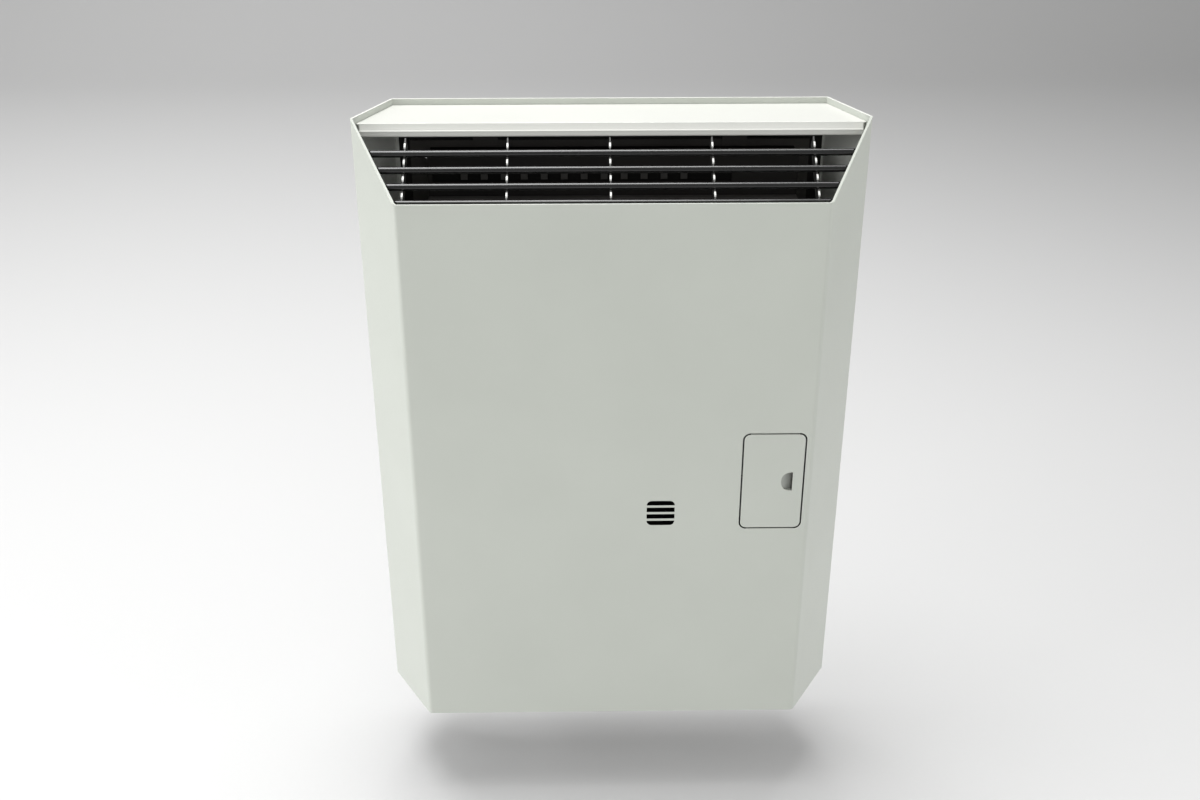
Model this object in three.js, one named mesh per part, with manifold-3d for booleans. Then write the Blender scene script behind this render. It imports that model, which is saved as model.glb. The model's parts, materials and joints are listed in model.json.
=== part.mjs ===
// A wall mounted gas heater, in millimetres, +Z up.
// X runs to the right seen from the room and +Y runs into the wall, whose face is y = 0.
// Heights are given from the bottom edge of the casing, and the whole heater is lowered by
// originHeight at the end, so that the origin lies on the wall face behind its middle.

import * as THREE from 'three';
import { mergeVertices } from 'three/addons/utils/BufferGeometryUtils.js';
import Module from 'manifold-3d';

const wasm = await Module();
wasm.setup();

// ---------------------------------------------------------------- driving dimensions

const originHeight = 300;

// Casing: six-sided in plan, widest a little behind its front.
const casingHeight = 618;
const casingDepth = 146.5;
const frontWidth = 384.5;
const widestWidth = 471.6;
const widestDepth = 71.5;
const rearWidth = 416;
const sheet = 1.0;
const frontBendRadius = 6;
const sideBendRadius = 3;
const rearBendRadius = 3;
const outletDrop = 58;
const outletFrontHeight = casingHeight - outletDrop;
const hemThickness = 2.0;
const hemHeight = 9;
const rearReturnWidth = 15;
const bottomReturnWidth = 15;
const hangingBandHeight = 40;

// Running clearances.
const gap = 0.3;
const turnGap = 0.4;

// Top panel, sunk below the rim.
const topPanelDrop = 5.8;
const topPanelFrontDepth = 76.5;
const topPanelSheet = 1.0;
const topPanelFlange = 12;
const topLipHeight = 12.3;
const topLipBend = 1.4;
const topLipBeadRadius = 1.1;
const topLipBeadDrop = 7.4;
const topLipHemRadius = 1.4;
const topNotch = 3;

// Grille, measured along the outlet slope from its rear edge, and inwards from its plane.
const bladeCount = 4;
const lastBladeInset = 3.916552;
const bladePitch = 17.55;
const bladeNoseRadius = 3.2;
const bladeInset = 4.2;
const bladeTailLength = 6.6;
const bladeTailThickness = 1.6;
const bladeTailSlope = 34;
const stayCount = 5;
const stayPitch = 91.7;
const stayOffset = -2.1;
const stayThickness = 1.2;
const stayBossThickness = 1.7;
const stayBossLength = 5.8;
const stayBossDepth = 3;
const stayBossRise = 1;
const stayBossRun = 8.9;
const stayFrontInset = 4.6;
const stayDepth = 13;
const stayTopRun = 18;
const stayBottomInset = 0.566552;
const bracketThickness = 1.0;
const bracketDrop = 2.5;
const bracketDepth = 20;

// Control door and its opening in the front.
const doorCentreX = 155;
const doorCentreZ = 279.65;
const doorWidth = 58.5;
const doorHeight = 103.2;
const doorGap = 1.5;
const doorCornerRadius = 5.8;
const doorSheet = 1.2;
const doorReturnDepth = 7;
const hingeInset = 8;
const hingeDepth = 3.6;
const hingePinRadius = 1.2;
const hingePinLength = 9;
const hingePinHeadRadius = 2.2;
const hingePinHeadHeight = 2;
const hingeBracketThickness = 1.5;
const hingeBracketWidth = 14;
const hingeBracketLift = 0.7;
const hingeLeafThickness = 1.0;
const hingeLeafHeight = 11;
const pullDiameter = 20.5;
const pullFlatX = 174.3;
const pullRise = 11;
const pullDepth = 6;
const pullWall = 1.0;

// Sight window: a block of level slots low in the front.
const sightCentreX = 47.3;
const sightCentreZ = 245.2;
const sightWidth = 27.4;
const sightSlotCount = 4;
const sightSlotHeight = 5;
const sightSlotGap = 2.5;
const sightCornerRadius = 5;
const sightGlassWidth = 36;
const sightGlassHeight = 34;
const sightGlassThickness = 3;
const sightFrameLip = 6;
const sightFrameSheet = 1.5;

// Wall frame.
const frameWidth = 384;
const frameBottom = 24;
const frameTopDrop = 40.5;
const frameTop = casingHeight - frameTopDrop;
const frameSheet = 2.0;
const frameRibDepth = 10;
const frameRibHeight = 14;
const lowerRibZ = 150;
const upperRibDrop = 67.5;
const upperRibZ = frameTop - upperRibDrop;
const wallHoleInset = 14;
const wallHoleRadius = 3.5;
const hookX = 120;
const hookWidth = 24;
const hookTopDrop = 20;
const hookTop = casingHeight - hookTopDrop;
const hookFoot = 10;
const hookNib = 4;
const hookSlotDrop = 8;
const hookSlotZ = hookTop - hookSlotDrop;
const hookSlotHeight = 6;
const hookSlotWidth = 30;
const frameWingHeight = 44;
const frameWingBottom = 8;
const frameWingDepth = 36;
const frameWingFoot = 20;
const rearReturnClear = 6;
const casingScrewZ = 30;
const casingScrewDepth = 22;
const casingScrewRadius = 2;
const casingScrewHeadRadius = 4.4;
const casingScrewHeadHeight = 2.6;
const casingScrewLength = 11;

// Heat exchanger.
const exchangerWall = 1.5;
const exchangerLeft = -172;
const exchangerRight = 104;
const exchangerShoulderRight = 176;
const exchangerBottom = 128;
const exchangerShoulderLift = 9;
const exchangerTopDrop = 82;
const exchangerTop = casingHeight - exchangerTopDrop;
const exchangerFrontDepth = 52;
const crownTopDrop = 44;
const crownTop = casingHeight - crownTopDrop;
const crownFrontDepth = 100;
const throatInset = 20;
const throatLap = 5;
const crownSlotLeft = -168;
const crownSlotRight = 114;
const crownSlotDrop = 24.2;
const crownSlotBottom = crownTop - crownSlotDrop;
const crownSlotHeight = 9.8;
const crownSlotTop = crownSlotBottom + crownSlotHeight;
const stripTabCount = 12;
const stripFirstTabX = -138.2;
const stripTabPitch = 18.82;
const stripTabWidth = 6.5;
const stripTabHeight = 5.6;
const stripTabLift = 4.8;
const stripTabZ = crownSlotBottom + stripTabLift;
const stripTabRise = 1.2;
const stripThickness = 1;
const stripLap = 2;

// Flue outlet and air inlet, both through the wall behind the heater.
const ductX = -40;
const flueDrop = 84;
const flueZ = exchangerTop - flueDrop;
const airZ = 210;
const ductRadius = 32;
const ductWall = 1.2;
const ductFlangeRadius = 42;
const ductFlangeThickness = 2;
const gasketThickness = 3;
const gasketBore = 31;
const ductHoleClear = 1.5;

// Burner, at the foot of the heat exchanger.
const burnerRadius = 14;
const burnerWall = 1.2;
const burnerLeft = -150;
const burnerZ = 186;
const burnerDepth = 92;
const sidePlateWidth = 66;
const sidePlateBottom = 154;
const sidePlateTop = 262;
const sidePlateThickness = 2;
const sidePlateLap = 6;
const injectorRadius = 6;
const injectorLength = 16;
const supplyPipeRadius = 4;

// Pilot group, seen through the sight window.
const pilotZ = 222;
const pilotRadius = 4;
const pilotHeight = 24;
const pilotX = 47.3;
const probeSpacing = 12;
const probeLead = 6;
const pilotForward = 22;
const saddleMargin = 7;
const saddleThickness = 1.5;
const thermocoupleRadius = 1.6;
const electrodeRadius = 1.5;
const ceramicRadius = 3;
const pilotTubeRadius = 2;
const leadRadius = 2.2;
const leadPitch = 9;

// Control box, gas valve and controls.
const controlLeft = 115;
const controlRight = 188.5;
const controlBottom = 212;
const controlTop = 347;
const exchangerShoulderZ = controlTop + exchangerShoulderLift;
const controlDepth = 44;
const controlSheet = 1.2;
const valveWidth = 54;
const valveDepth = 44;
const valveBottom = 226;
const valveTop = 298;
const valveArmInset = 12;
const knobZ = 262;
const knobRadius = 18;
const knobSkirtRadius = 20;
const knobSkirtLength = 4;
const knobLength = 22;
const knobGrip = 10;
const knobGripRise = 8;
const knobBoreDepth = 11;
const knobTravel = 3;
const spindleRadius = 3;
const collarRadius = 9;
const spindleBoreDepth = 30;
const pushRodLength = 9;
const piezoZ = 316;
const piezoRadius = 9;
const piezoLength = 40;
const piezoCollarRadius = 7.5;
const piezoCollarLength = 7;
const piezoNutFlats = 20;
const piezoNutThickness = 4;
const buttonRadius = 5.5;
const buttonSeat = 8;
const buttonStand = 7;
const buttonTravel = 5;
const buttonStemRadius = 2.6;
const buttonStemLength = 18;

// Gas inlet, thermostat bulb.
const inletX = 172;
const inletRadius = 7.5;
const inletWall = 1.2;
const inletBottom = 62;
const unionFlats = 27;
const unionHeight = 22;
const bulbRadius = 3.5;
const bulbLength = 84;
const bulbZ = 70;
const bulbX = 60;
const bulbDepth = 108;
const capillaryRadius = 1;
const clipWidth = 12;
const clipThickness = 1.2;

// Door magnet.
const magnetWidth = 8;
const magnetHeight = 14;
const magnetDepth = 10;
const magnetZ = 312;
const magnetInset = 2.3;

// ---------------------------------------------------------------- outlines and solids

const X = new THREE.Vector3(1, 0, 0);
const Y = new THREE.Vector3(0, 1, 0);
const Z = new THREE.Vector3(0, 0, 1);
const towardsRoom = new THREE.Vector3(0, -1, 0);
const deg = Math.PI / 180;

// The y of a point a given depth behind the front face.
function behindFront(depth) {
  return depth - casingDepth;
}

function solidOf(geometry) {
  const bare = geometry.index ? geometry.toNonIndexed() : geometry.clone();
  bare.deleteAttribute('normal');
  bare.deleteAttribute('uv');
  const merged = mergeVertices(bare, 1e-4);
  return new wasm.Manifold(new wasm.Mesh({
    numProp: 3,
    vertProperties: new Float32Array(merged.attributes.position.array),
    triVerts: new Uint32Array(merged.index.array),
  }));
}

function geometryOf(solid) {
  const mesh = solid.getMesh();
  const geometry = new THREE.BufferGeometry();
  geometry.setAttribute('position', new THREE.BufferAttribute(mesh.vertProperties, 3));
  geometry.setIndex(new THREE.BufferAttribute(mesh.triVerts, 1));
  return geometry;
}

function join(...solids) {
  return solids.reduce((whole, next) => whole.add(next));
}

function cut(solid, ...tools) {
  return tools.reduce((whole, tool) => whole.subtract(tool), solid);
}

function box(x0, x1, y0, y1, z0, z1) {
  const geometry = new THREE.BoxGeometry(x1 - x0, y1 - y0, z1 - z0);
  geometry.translate((x0 + x1) / 2, (y0 + y1) / 2, (z0 + z1) / 2);
  return solidOf(geometry);
}

function extrude(shape, length, basis, origin, segments) {
  const geometry = new THREE.ExtrudeGeometry(shape, {
    depth: length,
    bevelEnabled: false,
    curveSegments: segments,
  });
  geometry.applyMatrix4(basis);
  geometry.translate(...origin);
  return solidOf(geometry);
}

// A plan outline in x and y, raised from z0 to z1.
function upright(shape, z0, z1, segments = 5) {
  return extrude(shape, z1 - z0, new THREE.Matrix4(), [0, 0, z0], segments);
}

// A side outline in y and z, run along x.
function across(shape, x0, x1, segments = 8) {
  return extrude(shape, x1 - x0, new THREE.Matrix4().makeBasis(Y, Z, X), [x0, 0, 0], segments);
}

// A front outline in x and z, run from y0 back to y1.
function facing(shape, y0, y1, segments = 5) {
  const basis = new THREE.Matrix4().makeBasis(X, Z, towardsRoom);
  return extrude(shape, y1 - y0, basis, [0, y1, 0], segments);
}

function circle(u, v, radius) {
  const shape = new THREE.Shape();
  shape.absarc(u, v, radius, 0, 2 * Math.PI);
  return shape;
}

function polygon(points) {
  return new THREE.Shape(points.map(([u, v]) => new THREE.Vector2(u, v)));
}

function hexagon(u, v, flats) {
  const reach = flats / Math.sqrt(3);
  const corners = [0, 1, 2, 3, 4, 5].map((i) => [
    u + reach * Math.cos(i * 60 * deg),
    v + reach * Math.sin(i * 60 * deg),
  ]);
  return polygon(corners);
}

// A counter-clockwise outline whose corners are rounded, each by its own radius.
function rounded(points, radii) {
  const shape = new THREE.Shape();
  points.forEach(([u, v], i) => {
    const before = points[(i + points.length - 1) % points.length];
    const after = points[(i + 1) % points.length];
    const arriving = Math.atan2(v - before[1], u - before[0]);
    const leaving = Math.atan2(after[1] - v, after[0] - u);
    const turn = Math.atan2(Math.sin(leaving - arriving), Math.cos(leaving - arriving));
    const radius = radii[i];
    if (radius <= 0) {
      if (i === 0) shape.moveTo(u, v);
      else shape.lineTo(u, v);
      return;
    }
    const setback = radius * Math.tan(Math.abs(turn) / 2);
    const side = Math.sign(turn);
    const startU = u - setback * Math.cos(arriving);
    const startV = v - setback * Math.sin(arriving);
    const centreU = startU - side * radius * Math.sin(arriving);
    const centreV = startV + side * radius * Math.cos(arriving);
    if (i === 0) shape.moveTo(startU, startV);
    shape.absarc(
      centreU, centreV, radius,
      arriving - side * Math.PI / 2, leaving - side * Math.PI / 2, side < 0,
    );
  });
  shape.closePath();
  return shape;
}

function roundedBox(u0, u1, v0, v1, radius) {
  const corners = [[u0, v0], [u1, v0], [u1, v1], [u0, v1]];
  return rounded(corners, corners.map(() => radius));
}

// A counter-clockwise outline moved inwards by a distance.
function inset(points, distance) {
  return points.map(([u, v], i) => {
    const before = points[(i + points.length - 1) % points.length];
    const after = points[(i + 1) % points.length];
    const a = Math.atan2(v - before[1], u - before[0]);
    const b = Math.atan2(after[1] - v, after[0] - u);
    const half = Math.atan2(Math.sin(b - a), Math.cos(b - a)) / 2;
    const reach = distance / Math.cos(half);
    const along = a + half + Math.PI / 2;
    return [u + reach * Math.cos(along), v + reach * Math.sin(along)];
  });
}

// A round bar from one point to another along x, y or z, given by its unit vector.
function rod(axis, centre, radius, length, sides = 16) {
  const geometry = new THREE.CylinderGeometry(radius, radius, length, sides);
  geometry.translate(0, length / 2, 0);
  geometry.applyQuaternion(new THREE.Quaternion().setFromUnitVectors(Y, axis));
  geometry.translate(...centre);
  return solidOf(geometry);
}

// A round bar or tube bent along a smooth path.
function bent(points, radius, steps, sides = 8) {
  const knots = points.map((point) => new THREE.Vector3(...point));
  const path = new THREE.CatmullRomCurve3(knots, false, 'centripetal');
  const geometry = new THREE.ExtrudeGeometry(circle(0, 0, radius), {
    steps,
    curveSegments: sides / 2,
    bevelEnabled: false,
    extrudePath: path,
  });
  return solidOf(geometry);
}

// ---------------------------------------------------------------- finishes

const finishes = {
  enamel: { color: 0xdcded6, roughness: 0.42, metalness: 0.0 },
  doorEnamel: { color: 0xdcded6, roughness: 0.42, metalness: 0.0 },
  topEnamel: { color: 0xf2f2ee, roughness: 0.38, metalness: 0.0 },
  blade: { color: 0x2b2b2a, roughness: 0.28, metalness: 0.2 },
  stay: { color: 0xf0f0ec, roughness: 0.35, metalness: 0.1 },
  galvanised: { color: 0xa9adad, roughness: 0.45, metalness: 0.9 },
  exchanger: { color: 0x1d1c1b, roughness: 0.75, metalness: 0.1 },
  strip: { color: 0x2a2a29, roughness: 0.7, metalness: 0.1 },
  zinc: { color: 0xb9bcbd, roughness: 0.35, metalness: 0.9 },
  castAluminium: { color: 0xa3a5a6, roughness: 0.5, metalness: 0.85 },
  brass: { color: 0xb08d4a, roughness: 0.35, metalness: 0.9 },
  copper: { color: 0xb0683f, roughness: 0.4, metalness: 0.9 },
  steel: { color: 0x8d8f90, roughness: 0.4, metalness: 0.9 },
  blackPlastic: { color: 0x1c1c1d, roughness: 0.45, metalness: 0.0 },
  redPlastic: { color: 0xa8231c, roughness: 0.4, metalness: 0.0 },
  ceramic: { color: 0xe9e4d8, roughness: 0.5, metalness: 0.0 },
  silicone: { color: 0x8f2d20, roughness: 0.6, metalness: 0.0 },
  glass: { color: 0xcfd8d6, roughness: 0.08, metalness: 0.0 },
  fibre: { color: 0xd8d2c2, roughness: 0.95, metalness: 0.0 },
  magnet: { color: 0x35322f, roughness: 0.6, metalness: 0.3 },
};

const heater = new THREE.Group();
heater.position.z = -originHeight;

function addPart(name, solid, finish, parent = heater) {
  const material = new THREE.MeshStandardMaterial(finishes[finish]);
  const mesh = new THREE.Mesh(geometryOf(solid), material);
  mesh.name = name;
  parent.add(mesh);
  return mesh;
}

// ---------------------------------------------------------------- plan and side outlines

// The casing's plan, counter-clockwise from the right end of the wall side.
const plan = [
  [rearWidth / 2, 0],
  [-rearWidth / 2, 0],
  [-widestWidth / 2, behindFront(widestDepth)],
  [-frontWidth / 2, behindFront(0)],
  [frontWidth / 2, behindFront(0)],
  [widestWidth / 2, behindFront(widestDepth)],
];
const planRadii = [
  rearBendRadius, rearBendRadius, sideBendRadius, frontBendRadius, frontBendRadius, sideBendRadius,
];

function planPrism(distance, z0, z1) {
  const radii = planRadii.map((radius) => Math.max(radius - distance, 0));
  return upright(rounded(inset(plan, distance), radii), z0, z1);
}

function planRing(outer, inner, z0, z1) {
  return cut(planPrism(outer, z0, z1), planPrism(inner, z0 - 1, z1 + 1));
}

// The outlet slope falls from the rim at the widest corner to the front face.
const slopeAngle = Math.atan2(casingHeight - outletFrontHeight, widestDepth);
const reachOut = 40;

// A point a run down the slope and an inset below its plane, as y and z.
function onSlope(run, depth) {
  return [
    behindFront(widestDepth) - run * Math.cos(slopeAngle) + depth * Math.sin(slopeAngle),
    casingHeight - run * Math.sin(slopeAngle) - depth * Math.cos(slopeAngle),
  ];
}

const slopeLength = widestDepth / Math.cos(slopeAngle);

// Everything over the rim and the outlet slope, lowered by a drop.
function aboveRim(drop) {
  const inside = drop / Math.cos(slopeAngle) - drop;
  const shift = inside / Math.tan(slopeAngle);
  const [slopeEndY, slopeEndZ] = onSlope(slopeLength + reachOut, drop);
  return across(polygon([
    [reachOut, casingHeight - drop],
    [reachOut, casingHeight + reachOut],
    [slopeEndY, casingHeight + reachOut],
    [slopeEndY, slopeEndZ],
    [behindFront(widestDepth) + shift, casingHeight - drop],
  ].reverse()), -widestWidth, widestWidth);
}

// ---------------------------------------------------------------- casing

const halfRear = rearWidth / 2;
const halfWidest = widestWidth / 2;
const rearSideAngle = Math.atan2(halfWidest - halfRear, casingDepth - widestDepth);
const frontY = behindFront(0);
const behindSheet = frontY + sheet + gap;

// The half width of the casing's outside, a depth behind the front face.
function halfWidthAt(depth) {
  if (depth < widestDepth) {
    return frontWidth / 2 + (halfWidest - frontWidth / 2) * depth / widestDepth;
  }
  return halfWidest - (depth - widestDepth) * Math.tan(rearSideAngle);
}

const doorLeft = doorCentreX - doorWidth / 2;
const doorRight = doorCentreX + doorWidth / 2;
const doorBottom = doorCentreZ - doorHeight / 2;
const doorTop = doorCentreZ + doorHeight / 2;
const sightHeight = sightSlotCount * sightSlotHeight + (sightSlotCount - 1) * sightSlotGap;
const sightLeft = sightCentreX - sightWidth / 2;
const sightRight = sightCentreX + sightWidth / 2;
const sightBottom = sightCentreZ - sightHeight / 2;
const sides = [-1, 1];

function sightSlots() {
  const outline = roundedBox(
    sightLeft, sightRight, sightBottom, sightBottom + sightHeight, sightCornerRadius,
  );
  const window = facing(outline, frontY - 1, frontY + sheet + 1);
  const bars = [];
  for (let i = 1; i < sightSlotCount; i += 1) {
    const barBottom = sightBottom + i * (sightSlotHeight + sightSlotGap) - sightSlotGap;
    bars.push(box(
      sightLeft - 1, sightRight + 1, frontY - 2, frontY + sheet + 2,
      barBottom, barBottom + sightSlotGap,
    ));
  }
  return cut(window, ...bars);
}

// The place and direction of a casing screw on a rear side, seen from outside.
function screwPlace(side) {
  const away = new THREE.Vector3(side * Math.cos(rearSideAngle), Math.sin(rearSideAngle), 0);
  const y = -casingScrewDepth;
  const x = side * halfWidthAt(casingDepth + y);
  return { point: new THREE.Vector3(x, y, casingScrewZ), away };
}

function alongScrew(side, from, to, radius, sides = 12) {
  const { point, away } = screwPlace(side);
  const start = point.clone().addScaledVector(away, from);
  return rod(away, start.toArray(), radius, to - from, sides);
}

function makeCasing() {
  const shell = planRing(0, sheet, 0, casingHeight);
  const hem = cut(
    planRing(sheet / 2, hemThickness, 0, casingHeight),
    box(-widestWidth, widestWidth, -casingDepth * 2, reachOut, -1, outletFrontHeight / 2),
  ).intersect(aboveRim(hemHeight));
  const bottomReturn = planRing(sheet / 2, bottomReturnWidth, 0, sheet);
  const inner = halfRear - rearReturnWidth;
  const wallOpening = box(
    -inner, inner, -bottomReturnWidth - 1, 1, -1, casingHeight - hangingBandHeight,
  );
  const sideReturns = cut(
    box(-halfRear + 1, halfRear - 1, -sheet, 0, 0, casingHeight - hangingBandHeight),
    box(-inner, inner, -2, 2, -1, casingHeight),
  ).intersect(planPrism(0, -1, casingHeight));
  const hookSlots = sides.map((side) => box(
    side * hookX - hookSlotWidth / 2, side * hookX + hookSlotWidth / 2, -sheet - 1, 1,
    hookSlotZ - hookSlotHeight / 2, hookSlotZ + hookSlotHeight / 2,
  ));
  const doorOpening = facing(roundedBox(
    doorLeft - doorGap, doorRight + doorGap, doorBottom - doorGap, doorTop + doorGap,
    doorCornerRadius + doorGap,
  ), frontY - 1, frontY + sheet + 1);
  const screwHoles = sides.map(
    (side) => alongScrew(side, -sheet - 3, 3, casingScrewRadius + turnGap),
  );
  const body = cut(join(shell, hem, bottomReturn), wallOpening, aboveRim(0));
  return cut(join(body, sideReturns), ...hookSlots, doorOpening, sightSlots(), ...screwHoles);
}

addPart('casing', makeCasing(), 'enamel');

// ---------------------------------------------------------------- top panel

const topPanelZ = casingHeight - topPanelDrop;
const lipY = behindFront(topPanelFrontDepth);
const hemInside = hemThickness + gap;

function makeTopPanel() {
  const reach = widestWidth;
  const under = topPanelZ - topPanelSheet;
  const lipBottom = topPanelZ - topLipHeight;
  const plateOutline = new THREE.Shape();
  plateOutline.moveTo(reachOut, under);
  plateOutline.lineTo(reachOut, topPanelZ);
  plateOutline.lineTo(lipY + topLipBend, topPanelZ);
  plateOutline.absarc(
    lipY + topLipBend, topPanelZ - topLipBend, topLipBend, Math.PI / 2, Math.PI, false,
  );
  plateOutline.lineTo(lipY, lipBottom + topLipHemRadius);
  plateOutline.absarc(
    lipY + topLipHemRadius, lipBottom + topLipHemRadius, topLipHemRadius,
    Math.PI, 2 * Math.PI, false,
  );
  plateOutline.lineTo(lipY + 2 * topLipHemRadius, lipBottom + 2 * topLipHemRadius);
  plateOutline.lineTo(lipY + topPanelSheet, lipBottom + 2 * topLipHemRadius + topPanelSheet);
  plateOutline.lineTo(lipY + topPanelSheet, topPanelZ - topLipBend);
  plateOutline.absarc(
    lipY + topLipBend, topPanelZ - topLipBend, topLipBend - topPanelSheet,
    Math.PI, Math.PI / 2, true,
  );
  plateOutline.closePath();
  const bead = across(
    circle(lipY + topPanelSheet / 2, topPanelZ - topLipBeadDrop, topLipBeadRadius), -reach, reach,
  );
  const folded = join(across(plateOutline, -reach, reach), bead);
  const plate = folded.intersect(planPrism(hemInside, 0, casingHeight));
  const flanges = cut(
    planRing(hemInside, hemInside + topPanelSheet, topPanelZ - topPanelFlange, topPanelZ - 0.1),
    box(-reach, reach, -casingDepth * 2, lipY + topNotch, 0, casingHeight),
  );
  return join(plate, flanges);
}

addPart('top_panel', makeTopPanel(), 'topEnamel');

// ---------------------------------------------------------------- outlet grille

const lastBladeRun = slopeLength - lastBladeInset;
const bladeRuns = [...Array(bladeCount).keys()].map(
  (i) => lastBladeRun - (bladeCount - 1 - i) * bladePitch,
);
const stayBottomRun = slopeLength - stayBottomInset;

// A blade's section: a round nose with a thin tail that falls backwards. It is grown all
// round by a clearance where it cuts its slot in a stay.
function bladeOutline(run, grow) {
  const [y, z] = onSlope(run, bladeInset);
  const radius = bladeNoseRadius + grow;
  const halfTail = bladeTailThickness / 2 + grow;
  const tailAngle = -bladeTailSlope * deg;
  const spread = Math.asin(halfTail / radius);
  const length = bladeTailLength + grow;
  const cos = Math.cos(tailAngle);
  const sin = Math.sin(tailAngle);
  const outline = new THREE.Shape();
  outline.moveTo(y + length * cos + halfTail * sin, z + length * sin - halfTail * cos);
  outline.lineTo(y + length * cos - halfTail * sin, z + length * sin + halfTail * cos);
  outline.absarc(y, z, radius, tailAngle + spread, tailAngle + 2 * Math.PI - spread, false);
  outline.closePath();
  return outline;
}

const bladeEnd = hemInside + bracketThickness + gap;
const bladeLimits = planPrism(bladeEnd, 0, casingHeight);

bladeRuns.forEach((run, i) => {
  const blade = across(bladeOutline(run, 0), -halfWidest, halfWidest, 12).intersect(bladeLimits);
  addPart(`grille_blade_${i + 1}`, blade, 'blade');
});

const bladeSlots = bladeRuns.map(
  (run) => across(bladeOutline(run, gap), -halfWidest, halfWidest, 12),
);

// A boss thickens a stay's front edge a little above each blade.
function stayBoss(bladeRun, x) {
  const start = bladeRun - stayBossRun - stayBossLength / 2;
  const end = start + stayBossLength;
  const front = stayFrontInset - stayBossRise;
  const outline = polygon([
    onSlope(start, stayFrontInset),
    onSlope(start + stayBossRise, front),
    onSlope(end - stayBossRise, front),
    onSlope(end, stayFrontInset),
    onSlope(end, front + stayBossDepth),
    onSlope(start, front + stayBossDepth),
  ]);
  return across(outline, x - stayBossThickness / 2, x + stayBossThickness / 2);
}

// The stays run down the slope just behind the blades' noses.
for (let i = 0; i < stayCount; i += 1) {
  const x = stayOffset + (i - (stayCount - 1) / 2) * stayPitch;
  const outline = polygon([
    onSlope(stayTopRun, stayFrontInset),
    onSlope(stayTopRun, stayFrontInset + stayDepth),
    onSlope(stayBottomRun, stayFrontInset + stayDepth),
    onSlope(stayBottomRun, stayFrontInset),
  ]);
  const plate = across(outline, x - stayThickness / 2, x + stayThickness / 2);
  const bosses = bladeRuns.map((run) => stayBoss(run, x));
  addPart(`grille_stay_${i + 1}`, cut(join(plate, ...bosses), ...bladeSlots), 'stay');
}

// An end bracket lies inside each front side of the casing and carries the blades' ends.
sides.forEach((side) => {
  const reach = side * widestWidth;
  const outline = polygon([
    onSlope(stayTopRun - 4, bracketDrop),
    onSlope(stayTopRun - 4, bracketDrop + bracketDepth),
    onSlope(slopeLength - 3, bracketDrop + bracketDepth),
    onSlope(slopeLength - 3, bracketDrop),
  ]);
  const half = across(outline, Math.min(0, reach), Math.max(0, reach));
  const frontEdge = box(
    -widestWidth, widestWidth, -casingDepth * 2, frontY + frontBendRadius, 0, casingHeight,
  );
  const ring = planRing(hemInside, hemInside + bracketThickness, 0, casingHeight);
  const name = side < 0 ? 'grille_end_bracket_left' : 'grille_end_bracket_right';
  addPart(name, cut(half.intersect(ring), frontEdge), 'blade');
});

// ---------------------------------------------------------------- control door

const hingeX = doorLeft + hingeInset;
const hingeY = frontY + hingeDepth;
const doorBack = frontY + doorSheet;
const pullRadius = pullDiameter / 2;
const returnLeft = doorLeft + doorCornerRadius;
const returnRight = doorRight - doorCornerRadius;

// The finger pull: a half moon whose floor falls from its round side to its flat side.
function pullSlab(grow, mouthY, deepestY) {
  const flat = pullFlatX + grow;
  const round = pullFlatX - pullRise - grow;
  const low = doorCentreZ - pullRadius - grow;
  const high = doorCentreZ + pullRadius + grow;
  const moon = new THREE.Shape();
  moon.moveTo(flat, low);
  moon.lineTo(flat, high);
  moon.quadraticCurveTo(round, high, round, doorCentreZ);
  moon.quadraticCurveTo(round, low, flat, low);
  const floor = upright(polygon([
    [round - 1, frontY + grow],
    [round, frontY + grow],
    [pullFlatX, deepestY],
    [flat + 1, deepestY],
    [flat + 1, deepestY + reachOut],
    [round - 1, deepestY + reachOut],
  ]), doorBottom, doorTop);
  return cut(facing(moon, mouthY, deepestY, 6), floor);
}

// A fold along the door's top or bottom edge, which also holds a hinge pin.
function doorReturn(z0, z1) {
  return box(returnLeft, returnRight, frontY + doorSheet / 2, frontY + doorReturnDepth, z0, z1);
}

function makeDoor() {
  const face = facing(
    roundedBox(doorLeft, doorRight, doorBottom, doorTop, doorCornerRadius), frontY, doorBack,
  );
  const cup = pullSlab(pullWall, frontY + doorSheet / 2, frontY + pullDepth + pullWall);
  const hollow = pullSlab(0, frontY - 1, frontY + pullDepth);
  const body = join(
    face, cup,
    doorReturn(doorTop - doorSheet, doorTop), doorReturn(doorBottom, doorBottom + doorSheet),
  );
  const pinHoles = [doorTop - doorSheet - 1, doorBottom - 1].map(
    (z) => rod(Z, [hingeX, hingeY, z], hingePinRadius + gap, doorSheet + 2, 12),
  );
  return cut(body, hollow, ...pinHoles);
}

addPart('control_door', makeDoor(), 'doorEnamel');

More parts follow.
